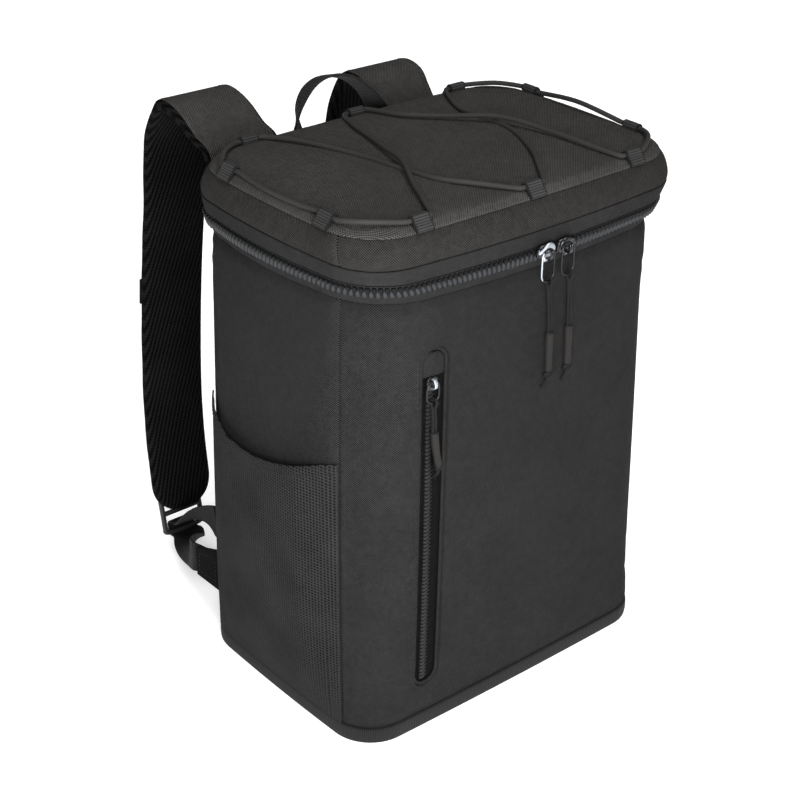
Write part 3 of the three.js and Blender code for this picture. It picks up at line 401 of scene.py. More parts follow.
def make(name, shape, looks, replaces=()):
    """The finished piece: its mesh, its looks by name, and what it stands for in the CAD model."""
    piece = new_object(name, np.array(shape.points) / 1000, shape.faces)
    mesh = piece.data
    uv = mesh.uv_layers.new(name="cloth_mm")
    uv.data.foreach_set("uv", np.concatenate(shape.uvs).astype(np.float32).ravel())
    for look in looks:
        mesh.materials.append(LOOKS[look])
    mesh.polygons.foreach_set("material_index", shape.looks)
    mesh.polygons.foreach_set("use_smooth", [True] * len(mesh.polygons))
    face_outwards(mesh)
    mesh.set_sharp_from_angle(angle=SHARP_ANGLE)
    mesh.update()
    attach(piece, "root")
    if replaces:
        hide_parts(*replaces)
    return piece


# Materials

class Graph:
    """A material's nodes. Its patterns are drawn on the cloth's own millimetres."""

    def __init__(self, name, roughness=0.8, metallic=0.0, sheen=0.0, coat=0.0, specular=0.5):
        self.material = bpy.data.materials.new(name)
        self.material.use_nodes = True
        self.tree = self.material.node_tree
        self.shader = self.tree.nodes["Principled BSDF"]
        values = {"Roughness": roughness, "Metallic": metallic, "Sheen Weight": sheen, "Coat Weight": coat,
                  "Specular IOR Level": specular}
        for key, value in values.items():
            self.shader.inputs[key].default_value = value
        where = self.tree.nodes.new("ShaderNodeTexCoord")
        self.object = where.outputs["Object"]
        parts = self.node("ShaderNodeSeparateXYZ", [where.outputs["UV"]])
        self.u, self.v = parts.outputs[0], parts.outputs[1]

    def node(self, kind, values=(), **settings):
        node = self.tree.nodes.new(kind)
        for key, value in settings.items():
            setattr(node, key, value)
        inputs = values.items() if isinstance(values, dict) else enumerate(values)
        for key, value in inputs:
            if isinstance(value, bpy.types.NodeSocket):
                self.tree.links.new(value, node.inputs[key])
            elif value is not None:
                node.inputs[key].default_value = value
        return node

    def math(self, operation, a, b=None, c=None):
        return self.node("ShaderNodeMath", [a, b, c], operation=operation).outputs[0]

    def wave(self, x, period, shift=0.0):
        turn = self.math("MULTIPLY_ADD", x, 2 * PI / period, shift)
        return self.math("SINE", turn)

    def ribs(self, x, period):
        return self.math("ABSOLUTE", self.wave(x, 2 * period))

    def noise(self, scale, detail):
        values = {"Vector": self.object, "Scale": scale, "Detail": detail}
        return self.node("ShaderNodeTexNoise", values).outputs[0]

    def range(self, x, low, high, to_low=0.0, to_high=1.0):
        return self.node("ShaderNodeMapRange", [x, low, high, to_low, to_high]).outputs[0]

    def finish(self, dark, light, share, height, depth, strength):
        """Colour between two tones by a share, and a bump of that depth in millimetres."""
        blend = self.node("ShaderNodeMix", data_type="RGBA")
        blend.inputs[6].default_value = (*dark, 1)
        blend.inputs[7].default_value = (*light, 1)
        self.tree.links.new(share, blend.inputs[0])
        self.tree.links.new(blend.outputs[2], self.shader.inputs["Base Color"])
        bump = self.node("ShaderNodeBump", {"Strength": strength, "Distance": depth / 1000, "Height": height})
        self.tree.links.new(bump.outputs[0], self.shader.inputs["Normal"])
        return self.material


def tone(value, tint=(1.0, 1.0, 1.0)):
    return tuple(value * k for k in tint)


def worn(g, share, cloudy=0.4, specks=0.1):
    """Adds slow changes of tone and a little lint to a pattern."""
    cloud = g.range(g.noise(26, 3), 0.3, 0.7, -cloudy / 2, cloudy / 2)
    lint = g.range(g.noise(900, 1), 0.66, 0.78, 0, specks)
    return g.math("ADD", g.math("ADD", share, cloud), lint)


# Cloth reflects little besides its own colour
CLOTH_ROUGH, CLOTH_SHINE = 0.85, 0.04
# Weights of the crossing yarns and of fuzz in twill, its fleck, and its darkest and lightest tones
CROSSING, FUZZ, FLECK = 0.8, 1.2, 0.06
TWILL_DARK, TWILL_LIGHT = 0.15, 1.85


def twill(name, value, tint, pitch=1.5, depth=0.3):
    """Dense polyester cloth: fine diagonal lines with crossing, uneven yarns."""
    g = Graph(name, roughness=CLOTH_ROUGH, specular=CLOTH_SHINE)
    diagonal = g.wave(g.math("ADD", g.u, g.v), pitch)
    crossing = g.wave(g.math("SUBTRACT", g.u, g.v), pitch)
    height = g.math("MULTIPLY_ADD", crossing, CROSSING, diagonal)
    height = g.math("ADD", height, g.math("MULTIPLY", g.noise(420, 2), FUZZ))
    fleck = g.range(g.noise(170, 2), 0.3, 0.7, -FLECK, FLECK)
    share = g.math("ADD", g.range(height, -0.9, 2.1), fleck)
    dark, light = tone(value * TWILL_DARK, tint), tone(value * TWILL_LIGHT, tint)
    return g.finish(dark, light, worn(g, share, 0.1), height, depth, 0.8)


def holes(g, across, up, size, lean=0.0):
    """Height of a cloth with rows of holes: 0 in a hole and 1 on the yarns."""
    slanted = g.math("MULTIPLY_ADD", g.v, lean, g.u)
    hole = g.math("MULTIPLY", g.wave(slanted, 2 * across, PI / 2), g.wave(g.v, 2 * up, PI / 2))
    return g.range(g.math("ABSOLUTE", hole), size, size + 0.25, 1, 0)


# Distances between the knit's holes
KNIT_ACROSS, KNIT_UP = 2.5, 2.2


def knit(name, value):
    """Stretch knit of the side pockets: a fine square grid of small holes between ribs."""
    g = Graph(name, roughness=CLOTH_ROUGH, specular=CLOTH_SHINE)
    cover = holes(g, KNIT_ACROSS, KNIT_UP, 0.5)
    yarn = g.math("MULTIPLY_ADD", g.wave(g.v, 0.75), 0.25, g.noise(520, 2))
    share = g.math("MULTIPLY", g.range(cover, 0, 1, 0.15, 1), g.range(yarn, 0.1, 0.9, 0.5, 1))
    relief = g.math("MULTIPLY_ADD", yarn, 0.3, cover)
    return g.finish(tone(value * 0.1), tone(value * 1.7), worn(g, share, 0.25), relief, 0.4, 0.9)


SPACER_PITCH, SPACER_UP = 3.6, 2.6
SPACER_LEAN = -0.3


def spacer(name, value):
    """Spacer mesh of the strap pads: slanted ribs with rows of deep holes between them."""
    g = Graph(name, roughness=0.9, specular=CLOTH_SHINE)
    cover = holes(g, SPACER_PITCH, SPACER_UP, 0.42, SPACER_LEAN)
    rib = g.ribs(g.math("MULTIPLY_ADD", g.v, SPACER_LEAN, g.u), SPACER_PITCH)
    yarn = g.math("MULTIPLY_ADD", g.wave(g.v, 0.8), 0.2, g.noise(500, 2))
    share = g.math("MULTIPLY", cover, g.range(rib, 0.2, 0.9, 0.0, 1))
    share = g.math("MULTIPLY", share, g.range(yarn, 0, 1, 0.5, 1))
    relief = g.math("MULTIPLY_ADD", rib, 0.6, cover)
    return g.finish(tone(value * 0.12), tone(value * 1.6), worn(g, share, 0.3, 0.03), relief, 0.7, 0.9)


def ribbed(name, value, pitch, depth=0.4, cross=0.9, edge=None):
    """Woven tape. Its ribs run across the width, and its two edges can be darker."""
    g = Graph(name, roughness=0.75, sheen=0.02, specular=0.16)
    rib = g.ribs(g.v, pitch)
    thread = g.wave(g.math("MULTIPLY_ADD", g.v, 0.5, g.u), cross)
    height = g.math("MULTIPLY_ADD", thread, 0.2, rib)
    share = worn(g, g.range(height, 0.0, 1.1, 0.0, 1), 0.3, 0.06)
    if edge:
        share = g.math("MULTIPLY", share, g.range(g.math("ABSOLUTE", g.u), edge - 1.4, edge - 0.9, 1, 0.0))
    return g.finish(tone(value * 0.2), tone(value * 1.5), share, height, depth, 0.9)


def braid(name, value, pitch, tint, depth=0.25, low=0.4):
    """A cord's braided cover."""
    g = Graph(name, roughness=0.6, specular=0.1)
    a = g.ribs(g.math("ADD", g.u, g.v), pitch)
    b = g.ribs(g.math("SUBTRACT", g.u, g.v), pitch)
    height = g.math("MAXIMUM", a, b)
    share = worn(g, g.range(height, 0.55, 1, 0.1, 0.9), 0.3, 0.05)
    return g.finish(tone(value * low, tint), tone(value * 1.3, tint), share, height, depth, 0.6)


def solid(name, value, tint, rough=0.35, metallic=0.0, coat=0.0, grain=300, depth=0.05, shine=0.3):
    """Moulded plastic, metal or rubber with faint unevenness and scuffs."""
    g = Graph(name, roughness=rough, metallic=metallic, coat=coat, specular=shine)
    cloud = g.noise(60, 3)
    scuff = g.range(g.noise(700, 2), 0.62, 0.75, 0, 0.5)
    share = g.math("ADD", g.range(cloud, 0.3, 0.7, 0.2, 0.7), scuff)
    rough_share = g.range(cloud, 0.3, 0.7, rough * 0.8, rough * 1.25)
    g.tree.links.new(rough_share, g.shader.inputs["Roughness"])
    return g.finish(tone(value * 0.75, tint), tone(value * 1.2, tint), share, g.noise(grain, 3), depth, 0.5)


NEUTRAL = (1.0, 0.985, 0.99)
WARM = (1.0, 0.96, 0.92)
COOL = (0.93, 0.98, 1.08)
LOOKS = {
    "front": twill("front_fabric", 0.0205, NEUTRAL),
    "side": twill("side_fabric", 0.021, NEUTRAL),
    "lid": twill("lid_fabric", 0.05, WARM),
    "boxing": twill("boxing_fabric", 0.026, WARM),
    "strap": twill("strap_fabric", 0.05, WARM),
    "inside": twill("lining", 0.05, NEUTRAL, 2.4),
    "base": twill("base_fabric", 0.02, NEUTRAL),
    "tab": twill("tab_fabric", 0.006, NEUTRAL),
    "spacer": spacer("spacer_mesh", 0.0055),
    "knit": knit("stretch_knit_cloth", 0.018),
    "binding": ribbed("base_binding_tape", 0.009, 1.5),
    "tape": twill("zip_tape_weave", 0.022, NEUTRAL, 1.3, 0.2),
    "front_tape": twill("front_tape_weave", 0.005, NEUTRAL, 1.3, 0.2),
    "webbing": ribbed("flat_webbing", 0.0028, 2.0, 0.5, 1.2),
    "handle": ribbed("handle_webbing", 0.011, 1.8, 0.45, 1.1),
    "loop": ribbed("loop_webbing", 0.026, 1.7, 0.5, 1.0, edge=7.0),
    "elastic": braid("elastic_braid", 0.03, 1.25, WARM, 0.25, 0.45),
    "cord": braid("pull_cord_braid", 0.008, 1.0, NEUTRAL, 0.35),
    "sleeve": solid("sleeve_rubber", 0.017, WARM, 0.6, 0.0, 0.0, 250, 0.08, 0.08),
    # The teeth's one plastic in a lighter and a darker copy, put on the two rows of each zip as painted light
    # and painted shade
    "teeth_painted_lit": solid("zip_teeth_painted_lit", 0.028, COOL, 0.4, 0.0, 0.0, 300, 0.05, 0.12),
    "front_teeth_painted_lit": solid("zip_front_teeth_painted_lit", 0.015, COOL, 0.4, 0.0, 0.0, 300, 0.05, 0.12),
    "teeth_painted_shade": solid("zip_teeth_painted_shade", 0.004, COOL, 0.4, 0.0, 0.0, 300, 0.05, 0.1),
    # Bright silver, also put as a painted highlight on the left pull's ring and a painted reflection on the
    # left slider, whose metal is black like the right one's
    "silver_and_painted_glint": solid("slider_silver_and_painted_glint", 0.5, COOL, 0.5, 1.0, 0.0, 200, 0.01),
    "black_metal": solid("slider_black", 0.012, COOL, 0.2, 0.6, 0.4, 200, 0.03),
    "ring_metal": solid("ring_black", 0.03, COOL, 0.3, 1.0, 0.1, 200, 0.03),
    "buckle": solid("buckle_moulding", 0.02, WARM, 0.4, 0.0, 0.1, 260, 0.06),
    "thread": solid("stitch_thread", 0.022, NEUTRAL, 0.7, 0.0, 0.0, 800, 0.1),
    "dark_thread": solid("dark_thread", 0.006, NEUTRAL, 0.7, 0.0, 0.0, 800, 0.1),
}


# Plan of the bag

# Clear space between neighbouring pieces
GAP = 0.3
# Steps of the index that runs round the bag, those of each rounded corner, and where the panels meet
COUNT = 50
CORNER_STEPS = 6
LEFT_BACK, LEFT_FRONT, RIGHT_FRONT, RIGHT_BACK = 6, 16, 34, 44
# The bag's plan at four heights: its width and depth, the radii of its front and back corners, and how
# far each side bows out
BASE = {"width": 276.6, "depth": 191.6, "front": 32, "back": 34, "front_bow": 1, "side_bow": 1, "back_bow": 1}
MOUTH = {"width": 268, "depth": 186.8, "front": 50, "back": 34, "front_bow": 5, "side_bow": 5, "back_bow": 1}
LID = {"width": 282.6, "depth": 196.8, "front": 38, "back": 38,
       "front_bow": 4.8, "side_bow": 3, "back_bow": 3}
LID_TOP = {"width": 276.3, "depth": 185.3, "front": 38, "back": 38,
           "front_bow": 1.8, "side_bow": 1.8, "back_bow": 1.8}
BINDING_HEIGHT = 11.4
MOUTH_HEIGHT = 327.0
LID_HEIGHT = 354.0
LID_SEAM = 372.0
CHAIN_LOW, CHAIN_HIGH = 334.0, 342.8
WALL = 6.0


def mix_plan(a, b, t):
    return {key: mix(a[key], b[key], t) for key in a}


def body_plan(z):
    return mix_plan(BASE, MOUTH, (z - BINDING_HEIGHT) / (MOUTH_HEIGHT - BINDING_HEIGHT))


def zip_plan(z):
    return mix_plan(MOUTH, LID, (z - MOUTH_HEIGHT) / (LID_HEIGHT - MOUTH_HEIGHT))


def lid_side_plan(z):
    return mix_plan(LID, LID_TOP, (z - LID_HEIGHT) / (LID_SEAM - LID_HEIGHT))


def outline(plan, out, i):
    """Points and outward directions on the bag's rounded plan, by an index that runs round it.
    Four corners of six steps each stand between sides of six steps, eight at the front."""
    half_x, half_y = plan["width"] / 2 + out, plan["depth"] / 2 + out
    front, back = np.maximum(plan["front"] + out, 2), np.maximum(plan["back"] + out, 2)
    i = np.mod(i, COUNT) + half_x * 0
    x, y, nx, ny = (np.zeros(i.shape) for _ in range(4))
    corners = [(3, back - half_x, half_y - back, back, PI / 2),
               (15, front - half_x, front - half_y, front, PI),
               (29, half_x - front, front - half_y, front, 1.5 * PI),
               (41, half_x - back, half_y - back, back, 0)]
    for start, cx, cy, radius, angle in corners:
        here = (i >= start) & (i < start + CORNER_STEPS)
        a = angle + PI / 2 * (i - start) / CORNER_STEPS
        x, y = np.where(here, cx + radius * np.cos(a), x), np.where(here, cy + radius * np.sin(a), y)
        nx, ny = np.where(here, np.cos(a), nx), np.where(here, np.sin(a), ny)
    sides = [(-3, 6, half_x - back, half_y, back - half_x, half_y, 0, 1, plan["back_bow"]),
             (9, 6, -half_x, half_y - back, -half_x, front - half_y, -1, 0, plan["side_bow"]),
             (21, 8, front - half_x, -half_y, half_x - front, -half_y, 0, -1, plan["front_bow"]),
             (35, 6, half_x, front - half_y, half_x, half_y - back, 1, 0, plan["side_bow"])]
    for start, count, x0, y0, x1, y1, sx, sy, bow in sides:
        j = np.where(i >= COUNT - 3, i - COUNT, i) if start < 0 else i
        here = (j >= start) & (j < start + count)
        t = (j - start) / count
        swell = bow * (1 - (2 * t - 1) ** 2)
        slope = np.clip(4 * bow * (2 * t - 1) / (np.hypot(x1 - x0, y1 - y0) + 1e-9), -0.2, 0.2)
        x, y = np.where(here, mix(x0, x1, t) + sx * swell, x), np.where(here, mix(y0, y1, t) + sy * swell, y)
        lean = np.hypot(1, slope)
        nx = np.where(here, (sx + slope * np.sign(x1 - x0)) / lean, nx)
        ny = np.where(here, (sy + slope * np.sign(y1 - y0)) / lean, ny)
    return x, y, nx, ny


PLAN_POINTS = 600


def even_indices(plan, first, last, shares):
    """Indices at shares of the way round between two of them, measured along the plan."""
    i = np.linspace(first, last, PLAN_POINTS)
    x, y, _, _ = outline(plan, 0, i)
    run = along(np.stack([x, y, x * 0], 1))
    return np.interp(np.asarray(shares) * run[-1], run, i), run[-1]


def wall_points(plan_at, z, out, i):
    x, y, nx, ny = outline(plan_at(z), out, i)
    return np.stack([x, y, z + x * 0], -1), np.stack([nx, ny, nx * 0], -1)


# The padded panels' swelling, at shares of their height
BODY_SWELL = 1.5
BODY_SHARES, BODY_SWELLS = (0, 0.15, 0.45, 0.8, 0.94, 1), (0, 0.5, 1, 1, 0.8, 0)
BODY_LOW, BODY_HIGH = BINDING_HEIGHT + GAP, MOUTH_HEIGHT - GAP


def body_out(z):
    """How far the body's cloth stands outside its plan: a little inside it at the foot."""
    share = np.clip((z - BODY_LOW) / (BODY_HIGH - BODY_LOW), 0, 1)
    return BODY_SWELL * through(BODY_SHARES, BODY_SWELLS, share) - (1 - share)


def front_face(x, z):
    """How far the front stands before the bag's middle."""
    plan = body_plan(z)
    half = plan["width"] / 2 - plan["front"]
    swell = plan["front_bow"] * np.maximum(0, 1 - (x / half) ** 2)
    return plan["depth"] / 2 + body_out(z) + swell


def back_face(z):
    plan = body_plan(z)
    return plan["depth"] / 2 + body_out(z) + plan["back_bow"]


def on_front(x, z, out):
    x, z = np.broadcast_arrays(np.asarray(x, float), np.asarray(z, float))
    return np.stack([x, -front_face(x, z) - out, z], -1)


# Cloth under pressure

def weights(count, at):
    """Smooth weights that take values from a row of evenly spaced places to others."""
    x = np.clip(at, 0, 1) * (count - 1)
    k = np.clip(np.floor(x).astype(int), 0, count - 2)
    t = x - k
    w = np.zeros((len(at), count))
    parts = (-0.5 * t + t ** 2 - 0.5 * t ** 3, 1 - 2.5 * t ** 2 + 1.5 * t ** 3,
             0.5 * t + 2 * t ** 2 - 1.5 * t ** 3, -0.5 * t ** 2 + 0.5 * t ** 3)
    for offset, part in zip((-1, 0, 1, 2), parts):
        np.add.at(w, (np.arange(len(at)), np.clip(k + offset, 0, count - 1)), part)
    return w


def moved(moves, down, across):
    """Moves of a coarse grid's points, read smoothly at the shares of a fine one."""
    return np.einsum("ra,abk,cb->rck", weights(moves.shape[0], down), moves, weights(moves.shape[1], across))


# The simulation works at ten times the size, and starts from slightly uneven cloth, in millimetres
SIM_SCALE = 100
UNEVEN = 0.12


PRESSURE = 4.0
SLACK = 0.012
FRAMES = 20
# The farthest that a point may move
CAP = 1.6


def settled(skins):
    """Blows each coarse skin up a little with its edges sewn down, and returns how far its points moved."""
    made = {}
    for name, (points, wrap) in skins.items():
        rough = points + rng.normal(0, UNEVEN, points.shape)
        quads = cells(numbered(*points.shape[:2], wrap))
        skin_object = new_object(name + "_sim", rough.reshape(-1, 3) / SIM_SCALE, quads.tolist())
        sewn = np.zeros(points.shape[:2], bool)
        sewn[0] = True
        if not wrap:
            sewn[-1] = sewn[:, 0] = sewn[:, -1] = True
        group = skin_object.vertex_groups.new(name="sewn")
        group.add(np.flatnonzero(sewn).tolist(), 1.0, "REPLACE")
        cloth = skin_object.modifiers.new("cloth", "CLOTH")
        s = cloth.settings
        s.quality, s.mass = 6, 0.1
        s.tension_stiffness = s.compression_stiffness = 12
        s.shear_stiffness, s.bending_stiffness = 6, 1.5
        s.vertex_group_mass = "sewn"
        s.use_pressure, s.uniform_pressure_force = True, PRESSURE
        s.shrink_min = -SLACK
        s.effector_weights.gravity = 0
        cloth.collision_settings.use_collision = False
        cloth.point_cache.frame_start, cloth.point_cache.frame_end = 1, FRAMES
        made[name] = (skin_object, rough)
    for number in range(1, FRAMES + 1):
        scene.frame_set(number)
    graph = bpy.context.evaluated_depsgraph_get()
    moves = {}
    for name, (skin_object, rough) in made.items():
        shown = skin_object.evaluated_get(graph)
        co = np.zeros(rough.size, np.float32)
        shown.data.vertices.foreach_get("co", co)
        move = co.reshape(rough.shape) * SIM_SCALE - rough
        far = np.linalg.norm(move, axis=-1, keepdims=True)
        moves[name] = move * np.minimum(1, CAP * np.tanh(far / CAP) / np.maximum(far, 1e-6))
        bpy.data.objects.remove(skin_object)
    scene.frame_set(1)
    return moves


def rolled(distance, depth, radius):
    """How far a panel's face turns in towards a seam at this distance from it."""
    t = np.clip(distance / radius, 0, 1)
    return depth * (1 - np.sqrt(1 - (1 - t) ** 2))


WALL_SMOOTHING = 10
# Distance from a seam over which the simulated moves fade out
SEAM_EASE = 5


class Wall:
    """A sewn panel of one of the bag's bands, between two seams that may lean."""

    def __init__(self, name, plan_at, low, high, out_at, roll, first, last):
        self.name, self.plan_at, self.low, self.high, self.out_at = name, plan_at, low, high, out_at
        self.roll = roll
        self.first = first if isinstance(first, tuple) else (first, first)
        self.last = last if isinstance(last, tuple) else (last, last)
        middle = plan_at((low + high) / 2)
        shares = np.linspace(0, 1, 200)
        i, self.width = even_indices(middle, np.mean(self.first), np.mean(self.last), shares)
        self.across = lambda t: np.interp(t, shares, (i - i[0]) / (i[-1] - i[0]))

    def points(self, s, t, extra=0.0):
        """The panel's grid and its outward directions, at shares of its height and width."""
        s, t = np.asarray(s)[:, None], np.asarray(t)[None, :]
        z = mix(self.low, self.high, s)
        first, last = mix(*self.first, s), mix(*self.last, s)
        i = first + (last - first) * self.across(t)
        grid, normal = wall_points(self.plan_at, z, self.out_at(z) + extra, i)
        return grid, normal

    def coarse(self, gap):
        """The grid that the simulation starts from."""
        rows = max(int((self.high - self.low) / gap), 5)
        return self.points(np.linspace(0, 1, rows), np.linspace(0, 1, max(int(self.width / gap), 5)))[0]

    def build(self, look, node, move, gap, cutter):
        """The finished panel, with the simulated cloth's moves and its edges rolled in to the seams."""
        tall = self.high - self.low
        s, t = stops(tall, gap), stops(self.width, gap)
        grid, normal = self.points(s, t)
        for _ in range(WALL_SMOOTHING):
            grid[:, 1:-1] += 0.25 * (grid[:, :-2] + grid[:, 2:] - 2 * grid[:, 1:-1])
        edge_s, edge_t = np.minimum(s, 1 - s)[:, None] * tall, np.minimum(t, 1 - t)[None, :] * self.width
        grid = grid - normal * (rolled(edge_s, *self.roll) + rolled(edge_t, *self.roll))[..., None]
        soft = moved(move, s, t)
        grid = grid + soft * (step(edge_s, 0, SEAM_EASE) * step(edge_t, 0, SEAM_EASE))[..., None]
        inner = self.points(s, t, -WALL)[0]
        uv = pairs(t[None, :] * self.width, mix(self.low, self.high, s)[:, None])
        shape = Shape()
        skin(shape, grid, inner, uv, looks=(0, 1))
        piece = make(self.name, shape, [look, "inside"], [node])
        if cutter is not None:
            cut(piece, cutter)


def cut(piece, cutter):
    """Takes a shape out of a piece."""
    tool = new_object("cutter", np.array(cutter.points) / 1000, cutter.faces)
    face_outwards(tool.data)
    boolean = piece.modifiers.new("cut", "BOOLEAN")
    boolean.operation, boolean.object, boolean.solver = "DIFFERENCE", tool, "EXACT"
    bpy.context.view_layer.update()
    graph = bpy.context.evaluated_depsgraph_get()
    done = bpy.data.meshes.new_from_object(piece.evaluated_get(graph))
    piece.modifiers.clear()
    piece.data = done
    bpy.data.objects.remove(tool)


# Pulls: rings, cords, sleeves and knots

PULL_CORD = 2.2
RING_WIRE = 1.3
SLIDER_HEIGHT = 340.4
# Each pull's place, its ring's width and length, the lengths of cord, sleeve and knot below it, and how
# far its top, its sleeve's top and its sleeve's foot sway to the right
PULLS = {
    "left": {"x": -3.0, "z": SLIDER_HEIGHT, "ring": (10.5, 22), "cord": 36, "sleeve": 28, "knot": 9,
             "sways": (1.7, 5.2, 6), "prefix": "zip_", "suffix": "_left"},
    "right": {"x": 14.5, "z": SLIDER_HEIGHT, "ring": (10.5, 22), "cord": 36, "sleeve": 28, "knot": 9,
              "sways": (2.7, 4.9, 6), "prefix": "zip_", "suffix": "_right"},
    "front": {"x": -87.8, "z": 272.2, "ring": (10, 14.7), "cord": 20.5, "sleeve": 26, "knot": 6,
              "sways": (1, 2, 6.5), "prefix": "front_zip_", "suffix": ""},
}


# How far the teeth stand out from the tape
TEETH_RISE = 1.1


def chain_front(x, z):
    """How far the main zip's teeth stand before the bag's middle."""
    plan = zip_plan(z)
    half = plan["width"] / 2 - plan["front"]
    return plan["depth"] / 2 + plan["front_bow"] * (1 - (x / half) ** 2) + bulge(z) + TEETH_RISE


def bulge(z):
    """The soft swelling of the zip's tapes between the two seams."""
    return 1.2 * np.sin(PI * (z - MOUTH_HEIGHT) / (LID_HEIGHT - MOUTH_HEIGHT))


# How far in front of the teeth, or of the slot, the middle of a ring's wire hangs
RING_STAND, FRONT_RING_STAND = 5.93, 3.4
SLEEVE_RADIUS, SLEEVE_POINTS = 2.6, 40
# A knot's two loose ends, from its middle, for a knot of full size
KNOT_TAILS = [((-1.2, 0, -2), (-2.6, -0.4, -4.5), (-4.6, 0, -6.2)),
              ((0.4, 0.3, -2), (-0.6, 0.2, -5), (-2.2, 0.3, -6.8))]
FULL_KNOT = 9
HAIRS = 20
BRAID_BUMP = 1.6


class Pull:
    """A slider's pull: a wire ring, a doubled cord tied to it, a sleeve round both strands and a knot."""

    def __init__(self, side, sizes):
        self.side, self.sizes, self.x = side, sizes, sizes["x"]
        self.width, self.length = sizes["ring"]
        self.sways = sizes["sways"]
        if side == "front":
            self.top = sizes["z"]
            face = front_face(self.x, sizes["z"]) + FRONT_RING_STAND
        else:
            self.top = sizes["z"] + self.width / 4
            face = chain_front(self.x, sizes["z"]) + RING_STAND
        self.y = -face - RING_WIRE / 2
        self.cord_top = self.top - self.length - RING_WIRE / 2 - GAP
        cord_low = self.cord_top - sizes["cord"]
        sleeve_low = cord_low - sizes["sleeve"]
        self.knot_top = sleeve_low - GAP
        first, second, last = self.sways
        self.middle = self.place(mix(self.cord_top, cord_low, 0.5), mix(first, second, 0.6))
        half_way = self.place(mix(cord_low, sleeve_low, 0.5), mix(second, last, 0.4))
        self.sleeve_line = [self.place(cord_low, second), half_way, self.place(sleeve_low, last)]

    def place(self, height, sway):
        return vec(self.x + sway, self.y, height)

    def make(self, name, shape, looks, slot, node):
        node = self.sizes["prefix"] + node + self.sizes["suffix"]
        return make(f"{self.side}_{name}", shape, looks, [node])

    def add_ring(self):
        r = self.width / 2
        angles = np.linspace(0, PI, 13)
        upper = [vec(self.x + r * math.cos(a), self.y, self.top - r + r * math.sin(a)) for a in angles]
        low = self.top - self.length + r
        lower = [vec(self.x - r * math.cos(a), self.y, low - r * math.sin(a)) for a in angles]
        ring = Shape()
        sweep(ring, spline(upper + lower, True, 4), circle(RING_WIRE / 2, 10), closed=True)
        # On the left pull the ring's left leg is bright silver as a painted highlight; the rest of the wire
        # is the dark ring metal
        if self.side == "left":
            ring.looks = [int(ring.points[face[0]][0] < self.x - r * 0.8) for face in ring.faces]
        self.make("ring", ring, ["ring_metal", "silver_and_painted_glint"], "slider_metal", "pull_ring")

    def add_sleeve(self):
        path = evenly(spline(self.sleeve_line, per=12), SLEEVE_POINTS)
        share = np.linspace(0, 1, SLEEVE_POINTS)
        ends = np.where(np.abs(share - 0.5) > 0.48, 0.9, 1)
        swell = SLEEVE_RADIUS * (1 + 0.05 * np.sin(share * 7)) * ends
        sleeve = Shape()
        sweep(sleeve, path, swell[:, None, None] * circle(1, 20)[None])
        for centre, radius in ((path[1], SLEEVE_RADIUS + 0.15), (path[-2], SLEEVE_RADIUS + 0.05)):
            rim = centre + np.column_stack([circle(radius, 24), np.zeros(24)])
            sweep(sleeve, rim, circle(0.32, 6), closed=True)
        return self.make("sleeve", sleeve, ["sleeve"], "pull_sleeve", "pull_sleeve")

    def add_knot(self):
        """A trefoil knot with two ends that fray into single hairs."""
        turns = np.linspace(0, 2 * PI, 73)[:-1]
        scale = self.sizes["knot"] / FULL_KNOT
        centre = self.place(self.knot_top - 3.2 * scale, self.sways[2])
        trefoil = np.stack([np.sin(turns) + 2 * np.sin(2 * turns), -np.sin(3 * turns),
                            1.2 * (np.cos(turns) - 2 * np.cos(2 * turns))], 1) * 0.8 * scale
        knot = Shape()
        sweep(knot, centre + trefoil * 1.15, circle(1.5 * scale, 10), closed=True)
        for tail in KNOT_TAILS:
            line = spline([centre, *(centre + vec(*p) * scale for p in tail)], per=6)
            sweep(knot, line, circle(1.05 * scale, 8))
            start = line[-2]
            for _ in range(HAIRS):
                end = line[-1] + rng.normal(0, 0.9, 3) * scale + unit(line[-1] - line[-3]) * 1.2
                bend = (start + end) / 2 + rng.normal(0, 0.2, 3)
                sweep(knot, spline([start, bend, end], per=3), circle(0.12, 4))
        return self.make("knot", knot, ["cord"], "pull_cord", "pull_knot")

    def add_strand(self, where, sign):
        """One strand, from round the ring's wire down through the sleeve into the knot."""
        hook = self.top - self.length + RING_WIRE
        beside = vec(sign * PULL_CORD * 0.52, 0, 0)
        over = vec(0, -sign * 1.7, 0)
        first, _, last = self.sways
        points = [self.place(hook + 1.2, first) + beside * 0.8, self.place(hook - 1.2, first) + beside + over,
                  self.place(self.cord_top - 3, first) + beside, self.middle + beside,
                  *(at + beside * k for at, k in zip(self.sleeve_line, (0.95, 0.9, 0.9))),
                  self.place(self.knot_top - 2, last) + beside * 0.4]
        line = evenly(spline(points, per=10), gap=0.6)
        bumps = 1 + 0.06 * np.sin(along(line) * 2 * PI / BRAID_BUMP)
        strand = Shape()
        sweep(strand, line, (bumps * PULL_CORD / 2)[:, None, None] * circle(1, 10)[None])
        piece = self.make("cord_" + where, strand, ["cord"], "pull_cord", "pull_cord")
        float(along(line)[-1]) / 1000


for side, sizes in PULLS.items():
    pull = Pull(side, sizes)
    pull.add_ring()
    hanging = [pull.add_sleeve(), pull.add_knot()]
    pull.add_strand("a", -1)
    pull.add_strand("b", 1)


# Body, binding and lid

# The lid's sides' swelling, at shares of their height
BOXING_SWELL = 1.6
BOXING_SHARES, BOXING_SWELLS = (0, 0.15, 0.45, 0.82, 1), (0, 0.55, 1, 0.8, 0.2)


def boxing_out(z):
    share = (z - LID_HEIGHT) / (LID_SEAM - LID_HEIGHT)
    return BOXING_SWELL * through(BOXING_SHARES, BOXING_SWELLS, share)


# The front panel's side seams lean: they start lower down nearer the side than at the mouth
FRONT_LEFT_SEAM = (15.75, 16.3)
FRONT_RIGHT_SEAM = (COUNT - FRONT_LEFT_SEAM[0], COUNT - FRONT_LEFT_SEAM[1])

